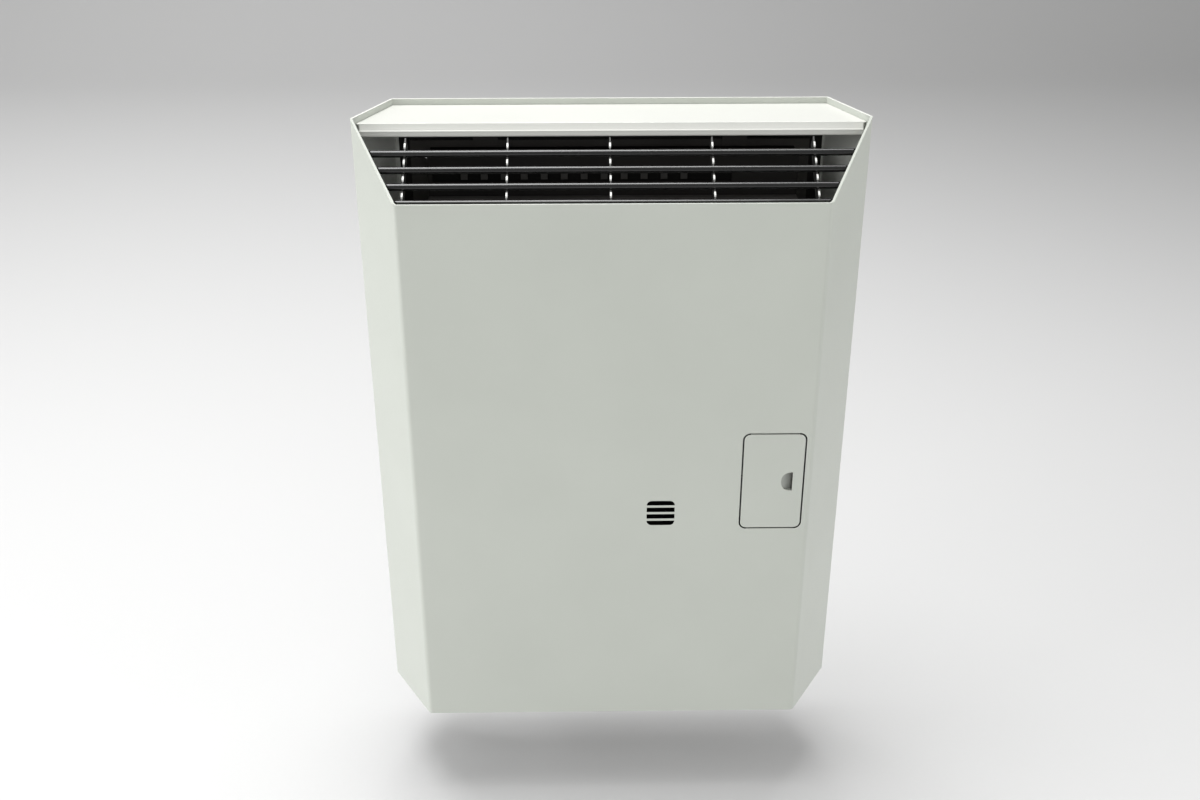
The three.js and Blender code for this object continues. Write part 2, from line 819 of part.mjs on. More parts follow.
// Each hinge pin stands in a door return and turns in a bracket behind the casing's front.
[-1, 1].forEach((end) => {
  const edge = end > 0 ? doorTop : doorBottom;
  const name = end > 0 ? 'upper' : 'lower';
  const along = Z.clone().multiplyScalar(end);
  const headZ = edge - end * (doorSheet + gap + hingePinHeadHeight);
  const pin = join(
    rod(along, [hingeX, hingeY, headZ], hingePinRadius, hingePinLength, 12),
    rod(along, [hingeX, hingeY, headZ], hingePinHeadRadius, hingePinHeadHeight, 12),
  );
  addPart(`door_hinge_pin_${name}`, pin, 'zinc');
  const nearZ = edge + end * (doorGap + hingeBracketLift);
  const lugFarZ = nearZ + end * hingeBracketThickness;
  const leafFarZ = nearZ + end * hingeLeafHeight;
  const halfLug = hingeBracketWidth / 2;
  const lug = box(
    hingeX - halfLug, hingeX + halfLug, behindSheet, hingeY + halfLug,
    Math.min(nearZ, lugFarZ), Math.max(nearZ, lugFarZ),
  );
  const leaf = box(
    hingeX - halfLug, hingeX + halfLug, behindSheet, behindSheet + hingeLeafThickness,
    Math.min(nearZ, leafFarZ), Math.max(nearZ, leafFarZ),
  );
  const hole = rod(
    along, [hingeX, hingeY, nearZ - end], hingePinRadius + gap, hingeBracketThickness + 2, 12,
  );
  addPart(`door_hinge_bracket_${name}`, cut(join(lug, leaf), hole), 'galvanised');
});

// ---------------------------------------------------------------- control box and controls

const controlBackY = frontY + controlDepth;
const controlX = doorCentreX;
const magnetLeft = doorRight - magnetInset - magnetWidth;
const magnetFrontY = doorBack + gap;
const magnetBackY = magnetFrontY + magnetDepth;
const valveFrontY = controlBackY + gap;
const collarFrontY = controlBackY - controlSheet - gap;

function makeControlBox() {
  const outside = box(
    controlLeft, controlRight, behindSheet, controlBackY, controlBottom, controlTop,
  );
  const inside = box(
    controlLeft + controlSheet, controlRight - controlSheet,
    behindSheet - 1, controlBackY - controlSheet,
    controlBottom + controlSheet, controlTop - controlSheet,
  );
  const magnetShelf = box(
    magnetLeft, controlRight - controlSheet / 2,
    magnetBackY + gap, magnetBackY + gap + controlSheet,
    magnetZ - magnetHeight / 2, magnetZ + magnetHeight / 2,
  );
  const spindleHole = rod(
    Y, [controlX, controlBackY - 5, knobZ], collarRadius + gap, 10, 20,
  );
  const piezoHole = rod(
    Y, [controlX, controlBackY - 5, piezoZ], piezoCollarRadius + gap, 10, 20,
  );
  return cut(join(cut(outside, inside), magnetShelf), spindleHole, piezoHole);
}

addPart('control_box', makeControlBox(), 'galvanised');
addPart('door_magnet', box(
  magnetLeft, magnetLeft + magnetWidth, magnetFrontY, magnetBackY,
  magnetZ - magnetHeight / 2, magnetZ + magnetHeight / 2,
), 'magnet');

// The valve's bore takes the spindle, and the push rod behind it.
const spindleRearY = collarFrontY + spindleBoreDepth - pushRodLength - knobTravel - 2 - gap;
const valve = join(
  box(
    controlX - valveWidth / 2, controlX + valveWidth / 2, valveFrontY, valveFrontY + valveDepth,
    valveBottom, valveTop,
  ),
  rod(Y, [controlX, collarFrontY, knobZ], collarRadius, valveFrontY - collarFrontY + 1, 20),
);
addPart('gas_valve', cut(valve, rod(
  Y, [controlX, collarFrontY - 1, knobZ], spindleRadius + gap, spindleBoreDepth + 1,
)), 'castAluminium');
addPart('valve_push_rod', rod(
  Y, [controlX, spindleRearY + gap, knobZ], spindleRadius, pushRodLength,
), 'steel');

const knobBackY = collarFrontY - knobTravel - gap;
const knobFrontY = knobBackY - knobLength;

function makeKnob() {
  const foot = [controlX, knobBackY, knobZ];
  const skirt = rod(towardsRoom, foot, knobSkirtRadius, knobSkirtLength, 32);
  const body = rod(towardsRoom, foot, knobRadius, knobLength - knobGripRise, 24);
  const grip = facing(
    roundedBox(
      controlX - knobGrip / 2, controlX + knobGrip / 2, knobZ - knobRadius, knobZ + knobRadius,
      knobGrip / 2 - 0.1,
    ), knobFrontY, knobBackY - 1,
  );
  const bore = rod(
    towardsRoom, [controlX, knobBackY + 1, knobZ], spindleRadius + gap, knobBoreDepth + 1,
  );
  return cut(join(skirt, body, grip), bore);
}

addPart('thermostat_knob', makeKnob(), 'blackPlastic');
const spindleFrontY = knobBackY - knobBoreDepth + gap;
addPart('valve_spindle', rod(
  Y, [controlX, spindleFrontY, knobZ], spindleRadius, spindleRearY - spindleFrontY,
), 'steel');

// The igniter is a barrel whose collar goes through the control box and takes a nut.
const piezoCollarFrontY = controlBackY - controlSheet - piezoCollarLength;
const buttonRearY = piezoCollarFrontY + buttonSeat;
const buttonBoreRearY = buttonRearY + buttonTravel + gap;
const buttonStemRearY = buttonRearY + buttonStemLength;
const igniter = join(
  rod(Y, [controlX, valveFrontY, piezoZ], piezoRadius, piezoLength, 20),
  rod(
    Y, [controlX, piezoCollarFrontY, piezoZ], piezoCollarRadius,
    valveFrontY - piezoCollarFrontY + 1, 20,
  ),
);
const boreMouth = [controlX, piezoCollarFrontY - 1, piezoZ];
const capBoreLength = buttonBoreRearY - piezoCollarFrontY + 1;
const stemBoreLength = buttonStemRearY + buttonTravel + gap - piezoCollarFrontY + 1;
addPart('piezo_igniter', cut(
  igniter,
  rod(Y, boreMouth, buttonRadius + turnGap, capBoreLength, 20),
  rod(Y, boreMouth, buttonStemRadius + turnGap, stemBoreLength),
), 'blackPlastic');
const capLength = buttonSeat + buttonStand;
addPart('piezo_button', join(
  rod(Y, [controlX, buttonRearY - capLength, piezoZ], buttonRadius, capLength, 20),
  rod(Y, [controlX, buttonRearY - 1, piezoZ], buttonStemRadius, buttonStemLength + 1),
), 'redPlastic');
const nutBackY = controlBackY - controlSheet - gap;
addPart('igniter_nut', cut(
  facing(hexagon(controlX, piezoZ, piezoNutFlats), nutBackY - piezoNutThickness, nutBackY),
  rod(Y, [controlX, nutBackY - 20, piezoZ], piezoCollarRadius + gap, 40, 20),
), 'zinc');

// ---------------------------------------------------------------- wall frame

function sideBox(side, xa, xb, y0, y1, z0, z1) {
  return box(Math.min(side * xa, side * xb), Math.max(side * xa, side * xb), y0, y1, z0, z1);
}

const halfFrame = frameWidth / 2;
const exchangerRearY = -frameSheet - frameRibDepth - gap;
const hookFrontY = -sheet - gap - frameSheet;

// A stand-off rib across the frame: a channel that is open towards the wall.
function frameRib(z) {
  const half = frameRibHeight / 2;
  const outside = box(
    -halfFrame, halfFrame, -frameSheet - frameRibDepth, -frameSheet / 2, z - half, z + half,
  );
  const inside = box(
    -halfFrame - 1, halfFrame + 1, -frameRibDepth, -frameSheet - 0.01,
    z - half + frameSheet, z + half - frameSheet,
  );
  return cut(outside, inside);
}

// A hook stands in front of the casing's hanging band and pokes its nib through the slot.
function frameHook(side) {
  const near = side * hookX - hookWidth / 2;
  const far = near + hookWidth;
  const nibTop = hookSlotZ + hookSlotHeight / 2 - gap;
  return join(
    box(near, far, hookFrontY, hookFrontY + frameSheet, frameTop - hookFoot, hookTop),
    box(near, far, hookFrontY, -frameSheet / 2, frameTop - hookFoot, frameTop),
    box(near + 2, far - 2, hookFrontY + frameSheet / 2, -sheet / 4, nibTop - hookNib, nibTop),
  );
}

// A wing reaches forward at each side of the foot and takes a casing screw.
function frameWing(side) {
  const z0 = frameWingBottom;
  const z1 = frameWingBottom + frameWingHeight;
  const stepY = -rearReturnClear - frameSheet;
  const outer = sheet + gap;
  const step = join(
    sideBox(side, halfFrame - frameSheet, halfFrame, stepY, 0, z0, z1),
    sideBox(side, halfFrame - frameSheet, halfWidest, stepY, stepY + frameSheet, z0, z1)
      .intersect(planPrism(outer, z0, z1)),
  );
  const strip = planRing(outer, outer + frameSheet, z0, z1).intersect(
    sideBox(side, halfFrame, halfWidest, -frameWingDepth, stepY + frameSheet, z0, z1),
  );
  const foot = sideBox(
    side, halfFrame - frameWingFoot, halfFrame, -frameSheet, 0, z0, frameBottom + 1,
  );
  return join(step, strip, foot);
}

function makeWallFrame() {
  const plate = box(-halfFrame, halfFrame, -frameSheet, 0, frameBottom, frameTop);
  const ductHoles = [flueZ, airZ].map(
    (z) => rod(Y, [ductX, -frameSheet - 5, z], ductRadius + ductHoleClear, frameSheet + 10, 24),
  );
  const wallHoles = sides.flatMap((side) => {
    const x = side * (halfFrame - wallHoleInset);
    const heights = [frameBottom + wallHoleInset, frameTop - wallHoleInset];
    return heights.map((z) => rod(Y, [x, -frameSheet - 5, z], wallHoleRadius, frameSheet + 10, 12));
  });
  const screwHoles = sides.map(
    (side) => alongScrew(side, -casingScrewLength - 5, 0, casingScrewRadius + gap),
  );
  const body = join(
    plate, frameRib(lowerRibZ), frameRib(upperRibZ),
    ...sides.map(frameHook), ...sides.map(frameWing),
  );
  return cut(body, ...ductHoles, ...wallHoles, ...screwHoles);
}

addPart('wall_frame', makeWallFrame(), 'exchanger');

sides.forEach((side) => {
  const screw = join(
    alongScrew(side, -casingScrewLength, gap + 1, casingScrewRadius),
    alongScrew(side, gap, gap + casingScrewHeadHeight, casingScrewHeadRadius, 16),
  );
  addPart(side < 0 ? 'casing_screw_left' : 'casing_screw_right', screw, 'zinc');
});

// ---------------------------------------------------------------- heat exchanger

const exchangerFrontY = behindFront(exchangerFrontDepth);
const crownFrontY = behindFront(crownFrontDepth);
const burnerY = behindFront(burnerDepth);
const plateY0 = burnerY - sidePlateWidth / 2;
const plateY1 = burnerY + sidePlateWidth / 2;

// The body is a box with a wider shoulder over the control side.
function exchangerBody(wall) {
  const low = box(
    exchangerLeft + wall, exchangerRight - wall, exchangerFrontY + wall, exchangerRearY - wall,
    exchangerBottom + wall, exchangerTop - wall,
  );
  const shoulder = box(
    exchangerRight - 2 * wall - 1, exchangerShoulderRight - wall,
    exchangerFrontY + wall, exchangerRearY - wall,
    exchangerShoulderZ + wall, exchangerTop - wall,
  );
  return join(low, shoulder);
}

function makeExchanger() {
  const ducts = [flueZ, airZ].map(
    (z) => rod(Y, [ductX, exchangerRearY - 5, z], gasketBore, 10, 24),
  );
  const burnerDoor = box(
    exchangerRight - 5, exchangerRight + 5, plateY0 + sidePlateLap, plateY1 - sidePlateLap,
    sidePlateBottom + sidePlateLap, sidePlateTop - sidePlateLap,
  );
  const sight = box(
    sightLeft, sightRight, exchangerFrontY - 5, exchangerFrontY + 5,
    sightBottom, sightBottom + sightHeight,
  );
  const throat = box(
    exchangerLeft + throatInset, exchangerShoulderRight - throatInset,
    crownFrontY + throatLap, exchangerRearY - throatLap, exchangerTop - 5, exchangerTop + 5,
  );
  return cut(exchangerBody(0), exchangerBody(exchangerWall), ...ducts, burnerDoor, sight, throat);
}

addPart('heat_exchanger', makeExchanger(), 'exchanger');

// The crown stands on the body over its throat and is open below.
function makeCrown() {
  const base = exchangerTop + gap;
  const outside = box(
    exchangerLeft, exchangerShoulderRight, crownFrontY, exchangerRearY, base, crownTop,
  );
  const inside = box(
    exchangerLeft + exchangerWall, exchangerShoulderRight - exchangerWall,
    crownFrontY + exchangerWall, exchangerRearY - exchangerWall, base - 1, crownTop - exchangerWall,
  );
  const slot = box(
    crownSlotLeft, crownSlotRight, crownFrontY - 5, crownFrontY + 5, crownSlotBottom, crownSlotTop,
  );
  return cut(outside, inside, slot);
}

addPart('exchanger_crown', makeCrown(), 'exchanger');

// The strip lies behind the slot and shows a row of small raised squares through it.
function makeSlotStrip() {
  const faceY = crownFrontY + exchangerWall + gap;
  const back = box(
    crownSlotLeft - stripLap, crownSlotRight + stripLap, faceY, faceY + stripThickness,
    crownSlotBottom - stripLap, crownSlotTop + stripLap,
  );
  const tabs = [];
  for (let i = 0; i < stripTabCount; i += 1) {
    const x = stripFirstTabX + i * stripTabPitch;
    tabs.push(box(
      x - stripTabWidth / 2, x + stripTabWidth / 2, faceY - stripTabRise, faceY + stripThickness / 2,
      stripTabZ - stripTabHeight / 2, stripTabZ + stripTabHeight / 2,
    ));
  }
  return join(back, ...tabs);
}

addPart('slot_strip', makeSlotStrip(), 'strip');

// ---------------------------------------------------------------- flue outlet and air inlet

function tube(axis, start, outer, inner, length, sides = 24) {
  const before = new THREE.Vector3(...start).addScaledVector(axis, -1).toArray();
  return cut(rod(axis, start, outer, length, sides), rod(axis, before, inner, length + 2, sides));
}

[['flue_outlet', flueZ], ['air_inlet', airZ]].forEach(([name, z]) => {
  const gasketY = exchangerRearY + gap;
  const flangeY = gasketY + gasketThickness + gap;
  const start = [ductX, flangeY, z];
  const inner = ductRadius - ductWall;
  addPart(`${name}_gasket`, tube(
    Y, [ductX, gasketY, z], ductFlangeRadius, gasketBore, gasketThickness,
  ), 'fibre');
  addPart(`${name}_spigot`, join(
    tube(Y, start, ductRadius, inner, -flangeY),
    tube(Y, start, ductFlangeRadius, inner, ductFlangeThickness),
  ), 'galvanised');
});

// ---------------------------------------------------------------- sight glass

const glassBackY = exchangerFrontY - gap;
const glassFrontY = glassBackY - sightGlassThickness;

function sightBlock(width, height, y0, y1, radius) {
  return facing(roundedBox(
    sightCentreX - width / 2, sightCentreX + width / 2,
    sightCentreZ - height / 2, sightCentreZ + height / 2, radius,
  ), y0, y1);
}

addPart('sight_glass', sightBlock(
  sightGlassWidth, sightGlassHeight, glassFrontY, glassBackY, 1,
), 'glass');
addPart('sight_glass_frame', cut(
  sightBlock(
    sightGlassWidth + 2 * sightFrameLip, sightGlassHeight + 2 * sightFrameLip,
    glassFrontY - gap - sightFrameSheet, glassBackY, 4,
  ),
  sightBlock(
    sightGlassWidth + 2 * gap, sightGlassHeight + 2 * gap, glassFrontY - gap, glassBackY + 1, 1,
  ),
  sightBlock(
    sightGlassWidth - sightFrameLip, sightGlassHeight - sightFrameLip,
    glassFrontY - 20, glassBackY, 2,
  ),
), 'galvanised');

// ---------------------------------------------------------------- burner and pilot

const plateX = exchangerRight + gap;
const plateFarX = plateX + sidePlateThickness;
const burnerRight = plateX - gap;
const pilotRowY = burnerY - pilotForward;
const leadZ = burnerZ - 2;
const pilotTubeZ = leadZ - leadPitch;
const thermocoupleZ = pilotTubeZ - leadPitch;
const saddleZ = burnerZ + burnerRadius + gap;
const tipZ = pilotZ + probeLead;
const probes = { thermocouple: pilotX - probeSpacing, pilot: pilotX, electrode: pilotX + probeSpacing };

addPart('burner_tube', cut(
  rod(X, [burnerLeft, burnerY, burnerZ], burnerRadius, burnerRight - burnerLeft, 24),
  rod(
    X, [burnerLeft + burnerWall, burnerY, burnerZ], burnerRadius - burnerWall,
    burnerRight - burnerLeft, 24,
  ),
), 'steel');

function plateHole(y, z, radius) {
  return rod(X, [plateX - 1, y, z], radius + gap, sidePlateThickness + 2, 16);
}

addPart('burner_side_plate', cut(
  box(plateX, plateFarX, plateY0, plateY1, sidePlateBottom, sidePlateTop),
  plateHole(burnerY, burnerZ, injectorRadius),
  plateHole(pilotRowY, pilotTubeZ, pilotTubeRadius),
  plateHole(pilotRowY, thermocoupleZ, thermocoupleRadius),
  plateHole(pilotRowY, leadZ, leadRadius),
), 'galvanised');

const injectorEndX = plateFarX + injectorLength / 2;
addPart('injector', join(
  rod(X, [injectorEndX - injectorLength, burnerY, burnerZ], injectorRadius, injectorLength, 16),
  rod(X, [plateFarX + gap, burnerY, burnerZ], injectorRadius + 2, injectorEndX - plateFarX - gap, 6),
), 'brass');

// The saddle sits on the burner tube and reaches forward to carry the pilot group.
addPart('pilot_bracket', cut(
  box(
    probes.thermocouple - saddleMargin, probes.electrode + saddleMargin,
    pilotRowY - saddleMargin, burnerY + saddleMargin, saddleZ, saddleZ + saddleThickness,
  ),
  rod(
    Z, [probes.thermocouple, pilotRowY, saddleZ - 1], thermocoupleRadius + gap,
    saddleThickness + 2, 12,
  ),
  rod(Z, [probes.pilot, pilotRowY, saddleZ - 1], pilotRadius + gap, saddleThickness + 2, 16),
  rod(Z, [probes.electrode, pilotRowY, saddleZ - 1], ceramicRadius + gap, saddleThickness + 2, 16),
), 'steel');

const pilotFootZ = pilotZ - pilotHeight;
addPart('pilot_burner', join(
  rod(Z, [probes.pilot, pilotRowY, pilotFootZ], pilotRadius, pilotHeight, 16),
  box(
    probes.pilot - pilotRadius, probes.pilot + pilotRadius, pilotRowY - pilotRadius / 2,
    pilotRowY + pilotRadius + 3, pilotZ - 3, pilotZ,
  ),
), 'brass');

const ceramicFootZ = pilotFootZ - 4;
addPart('spark_electrode', join(
  rod(Z, [probes.electrode, pilotRowY, ceramicFootZ], ceramicRadius, pilotHeight, 16),
  rod(Z, [probes.electrode, pilotRowY, ceramicFootZ + 1], electrodeRadius, tipZ - ceramicFootZ - 1, 8),
), 'ceramic');

// ---------------------------------------------------------------- pipes and leads

const valveX = controlX;
const valveRowY = valveFrontY + valveDepth;
const underValve = valveBottom - gap;
const inletY = valveFrontY + valveDepth / 2;

const leadSweep = 14;
const leadTurn = 12;
const leadRise = 28;
const leadSetback = 10;

// Turns of the supply pipe and of the igniter's lead, from the valve and the burner's end.
const supplyTurnInset = 14;
const supplyTurnSetback = 12;
const supplyTurnRise = 18;
const supplySetback = 14;
const supplyDrop = 8;
const igniterLeadInset = 11;
const igniterLeadRise = 14;
const igniterLeadTurn = 14;
const igniterLeadSetback = 8;
const igniterLeadHeight = 34;

// A straight stretch through the side plate, at one of the three lanes.
function throughPlate(z) {
  return [-6, 0, 4, 7].map((along) => [plateX + along, pilotRowY, z]);
}

addPart('thermocouple', bent([
  [probes.thermocouple, pilotRowY, tipZ],
  [probes.thermocouple, pilotRowY, saddleZ + 4],
  [probes.thermocouple, pilotRowY, saddleZ - 4],
  [probes.thermocouple, pilotRowY, thermocoupleZ + leadTurn],
  [probes.thermocouple + 4, pilotRowY, thermocoupleZ + 3],
  [probes.thermocouple + leadSweep, pilotRowY, thermocoupleZ],
  ...throughPlate(thermocoupleZ),
  [valveX - 8, pilotRowY - 4, thermocoupleZ + 8],
  [valveX + 5, pilotRowY - leadSetback, thermocoupleZ + leadRise],
  [valveX + 5, pilotRowY - leadSetback, underValve],
], thermocoupleRadius, 44), 'copper');

addPart('pilot_tube', bent([
  [probes.pilot, pilotRowY, pilotFootZ - gap],
  [probes.pilot, pilotRowY, pilotTubeZ + leadSweep],
  [probes.pilot + 3, pilotRowY, pilotTubeZ + 4],
  [probes.pilot + leadTurn, pilotRowY, pilotTubeZ],
  ...throughPlate(pilotTubeZ),
  [valveX - 22, pilotRowY - 6, pilotTubeZ + 10],
  [valveX - 20, pilotRowY - leadSetback, pilotTubeZ + leadRise - 4],
  [valveX - 20, pilotRowY - leadSetback, underValve],
], pilotTubeRadius, 40), 'copper');

addPart('supply_pipe', bent([
  [injectorEndX + gap, burnerY, burnerZ],
  [injectorEndX + 8, burnerY, burnerZ],
  [valveX - supplyTurnInset, burnerY - 2, burnerZ + 3],
  [valveX - 7, valveRowY - supplyTurnSetback, burnerZ + supplyTurnRise],
  [valveX - 7, valveRowY - supplySetback, underValve - supplyDrop],
  [valveX - 7, valveRowY - supplySetback, underValve],
], supplyPipeRadius, 28, 10), 'steel');

const igniterRearY = valveFrontY + piezoLength;
addPart('ignition_lead', bent([
  [probes.electrode, pilotRowY, ceramicFootZ - gap],
  [probes.electrode + 0.5, pilotRowY, ceramicFootZ - 4],
  [probes.electrode + 5, pilotRowY, leadZ + 1],
  [probes.electrode + leadSweep, pilotRowY, leadZ],
  ...throughPlate(leadZ),
  [plateFarX + igniterLeadInset, pilotRowY - 1, leadZ + igniterLeadRise],
  [plateFarX + igniterLeadTurn, pilotRowY + igniterLeadSetback, leadZ + igniterLeadHeight],
  [plateFarX + 16, burnerY + 8, leadZ + 58],
  [plateFarX + 16, burnerY + 20, valveTop - 20],
  [plateFarX + 22, burnerY + 18, piezoZ - 12],
  [controlX - 12, igniterRearY + 20, piezoZ],
  [controlX, igniterRearY + 12, piezoZ],
  [controlX, igniterRearY + gap, piezoZ],
], leadRadius, 64), 'silicone');

addPart('inlet_pipe', tube(
  Z, [inletX, inletY, inletBottom + 2], inletRadius, inletRadius - inletWall,
  underValve - inletBottom - 2, 20,
), 'copper');
addPart('inlet_union', cut(
  upright(hexagon(inletX, inletY, unionFlats), inletBottom, inletBottom + unionHeight),
  rod(Z, [inletX, inletY, inletBottom - 1], inletRadius + gap, unionHeight + 2, 20),
), 'brass');

// The valve bracket stands on the wall frame and holds the valve's back.
const bracketY = valveRowY + gap;
addPart('valve_bracket', join(
  box(
    valveX - valveWidth / 2, valveX + valveWidth / 2, bracketY, bracketY + frameSheet,
    valveBottom + 2, valveTop - 2,
  ),
  box(
    halfFrame - valveArmInset, halfFrame - valveArmInset + frameSheet, bracketY, -frameSheet - gap,
    valveBottom + valveArmInset, valveTop - valveArmInset,
  ),
  box(
    halfFrame - 2 * valveArmInset, halfFrame, -2 * frameSheet - gap, -frameSheet - gap,
    valveBottom + valveArmInset, valveTop - valveArmInset,
  ),
), 'galvanised');

// ---------------------------------------------------------------- thermostat bulb

const bulbY = behindFront(bulbDepth);
const bulbEndX = bulbX + bulbLength;
const capillaryReach = 15;
const capillaryRise = 20;
addPart('thermostat_bulb', rod(X, [bulbX, bulbY, bulbZ], bulbRadius, bulbLength, 16), 'copper');
addPart('bulb_capillary', bent([
  [bulbEndX + gap, bulbY, bulbZ],
  [bulbEndX + 8, bulbY, bulbZ + 1],
  [bulbEndX + capillaryReach, bulbY - 6, bulbZ + capillaryRise],
  [bulbEndX + capillaryReach, bulbY - 22, bulbZ + 4 * capillaryRise],
  [valveX + 3, valveRowY - 6, underValve - 24],
  [valveX + 3, valveRowY - 6, underValve],
], capillaryRadius, 36), 'copper');

const clipX = bulbX + bulbLength / 2 - clipWidth / 2;
const clipTop = bulbZ - bulbRadius - gap;
const clipFrontY = bulbY - bulbRadius - gap;
addPart('bulb_clip', join(
  box(
    clipX, clipX + clipWidth, clipFrontY - clipThickness, -frameSheet - gap,
    clipTop - clipThickness, clipTop,
  ),
  box(
    clipX, clipX + clipWidth, clipFrontY - clipThickness, clipFrontY,
    clipTop - clipThickness, bulbZ + bulbRadius,
  ),
  box(
    clipX, clipX + clipWidth, -frameSheet - gap - clipThickness, -frameSheet - gap,
    clipTop - clipWidth, clipTop,
  ),
), 'galvanised');


heater.updateMatrixWorld(true);
export default heater;
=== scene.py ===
# %% [markdown]
# # A wall mounted gas heater, from measured solids to a studio picture
#
# The heater is a folded steel case that hangs on a wall. Room air enters below, warms on a
# closed heat exchanger and leaves through a sloping grille at the top. The measured solids
# are loaded first and stay fixed. Each visible piece is then finished on top of them, so
# every screw and pipe stays where the engineering model puts it.

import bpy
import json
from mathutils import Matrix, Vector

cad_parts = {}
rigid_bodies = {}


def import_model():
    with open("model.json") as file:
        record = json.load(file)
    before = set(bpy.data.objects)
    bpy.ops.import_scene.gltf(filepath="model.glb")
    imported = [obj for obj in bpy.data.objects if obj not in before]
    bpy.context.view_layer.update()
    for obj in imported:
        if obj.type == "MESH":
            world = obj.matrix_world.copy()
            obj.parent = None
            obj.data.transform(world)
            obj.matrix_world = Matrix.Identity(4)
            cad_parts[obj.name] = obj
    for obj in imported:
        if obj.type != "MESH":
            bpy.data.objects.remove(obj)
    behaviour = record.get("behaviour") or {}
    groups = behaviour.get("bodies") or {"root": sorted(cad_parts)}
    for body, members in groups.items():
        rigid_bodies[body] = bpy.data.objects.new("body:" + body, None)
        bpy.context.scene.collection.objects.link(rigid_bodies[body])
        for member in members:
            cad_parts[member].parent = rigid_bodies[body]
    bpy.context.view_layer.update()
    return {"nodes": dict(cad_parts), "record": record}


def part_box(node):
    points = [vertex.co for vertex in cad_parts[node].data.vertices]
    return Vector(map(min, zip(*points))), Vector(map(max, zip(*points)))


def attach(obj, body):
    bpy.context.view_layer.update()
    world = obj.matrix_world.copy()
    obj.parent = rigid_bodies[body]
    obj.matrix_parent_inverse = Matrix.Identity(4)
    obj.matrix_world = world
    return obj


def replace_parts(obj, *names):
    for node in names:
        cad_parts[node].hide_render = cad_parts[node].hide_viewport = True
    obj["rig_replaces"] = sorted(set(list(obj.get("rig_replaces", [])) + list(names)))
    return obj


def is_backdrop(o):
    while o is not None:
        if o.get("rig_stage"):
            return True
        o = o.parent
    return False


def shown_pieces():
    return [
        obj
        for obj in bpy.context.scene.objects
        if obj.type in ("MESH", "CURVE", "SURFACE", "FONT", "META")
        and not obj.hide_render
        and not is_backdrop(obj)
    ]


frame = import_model()
nodes = frame["nodes"]

# %% [markdown]
# ## The viewpoint
#
# The case's known corners give the place of the camera by resection, as in surveying. The
# photographer stood close and above, so the front narrows towards the floor. A plain
# perspective camera with that lens repeats it. Guessing by eye would put each edge some
# pixels off.

# %% Camera from surveyed corners
import json
import math
import bmesh
import bpy
from mathutils import Matrix, Vector

MM = 0.001
YAW, PITCH, ROLL = (math.radians(a) for a in (0.823, 26.518, -0.04))
EYE = Vector((-0.0278, -1.2470, 0.6186))
forward = Vector((math.sin(YAW) * math.cos(PITCH), math.cos(YAW) * math.cos(PITCH), -math.sin(PITCH)))
level_right = Vector((math.cos(YAW), -math.sin(YAW), 0))
level_up = level_right.cross(forward)
right = math.cos(ROLL) * level_right + math.sin(ROLL) * level_up
up = -math.sin(ROLL) * level_right + math.cos(ROLL) * level_up

camera_data = bpy.data.cameras.new("viewpoint")
camera_data.lens = 39.41
camera_data.sensor_width = 36
camera_data.clip_start = 0.05
camera_data.clip_end = 50
camera = bpy.data.objects.new("viewpoint", camera_data)
camera.matrix_world = Matrix((
    (right.x, up.x, -forward.x, EYE.x),
    (right.y, up.y, -forward.y, EYE.y),
    (right.z, up.z, -forward.z, EYE.z),
    (0, 0, 0, 1),
))
bpy.context.scene.collection.objects.link(camera)
bpy.context.scene.camera = camera
print("camera looks along", [round(v, 3) for v in forward])

# %% [markdown]
# ## Writing shaders as sums
#
# A finish is a small calculation: a noise here, a threshold there, a mix of two tones. One
# class holds a socket and turns the arithmetic signs into nodes, so each finish below reads
# like a formula. Wiring every node by hand would bury the idea in bookkeeping.

# %% Socket arithmetic
def connect(tree, socket, value):
    """Leads a socket's result in, or writes a plain number or colour there."""
    if isinstance(value, Sock):
        tree.links.new(value.socket, socket)
    else:
        socket.default_value = value


class Sock:
    """One output socket that understands arithmetic."""

    def __init__(self, tree, socket):
        self.tree = tree
        self.socket = socket

    def _math(self, operation, *values, clamp=False):
        """A node that does one sum with sockets or plain numbers."""
        node = self.tree.nodes.new("ShaderNodeMath")
        node.operation = operation
        node.use_clamp = clamp
        for index, value in enumerate(values):
            connect(self.tree, node.inputs[index], value)
        return Sock(self.tree, node.outputs[0])

    def __add__(self, other):
        return self._math("ADD", self, other)

    def __radd__(self, other):
        return self._math("ADD", other, self)

    def __sub__(self, other):
        return self._math("SUBTRACT", self, other)

    def __rsub__(self, other):
        return self._math("SUBTRACT", other, self)

    def __mul__(self, other):
        return self._math("MULTIPLY", self, other)

    def __rmul__(self, other):
        return self._math("MULTIPLY", other, self)

    def __truediv__(self, other):
        return self._math("DIVIDE", self, other)

    def __rtruediv__(self, other):
        return self._math("DIVIDE", other, self)

    def __pow__(self, other):
        return self._math("POWER", self, other)

    def __rpow__(self, other):
        return self._math("POWER", other, self)

    def __gt__(self, other):
        return self._math("GREATER_THAN", self, other)

    def __lt__(self, other):
        return self._math("LESS_THAN", self, other)

    def __abs__(self):
        return self._math("ABSOLUTE", self)

    def clamped(self):
        """Kept between 0 and 1."""
        return self._math("ADD", self, 0.0, clamp=True)

    def sine(self):
        """Sine of an angle in radians."""
        return self._math("SINE", self)

    def angle_to(self, other):
        """Angle of the point that has this height above the other length."""
        return self._math("ARCTAN2", self, other)

    def ramp(self, low, high):
        """0 below low, 1 above high, and a straight climb between."""
        return ((self - low) / (high - low)).clamped()


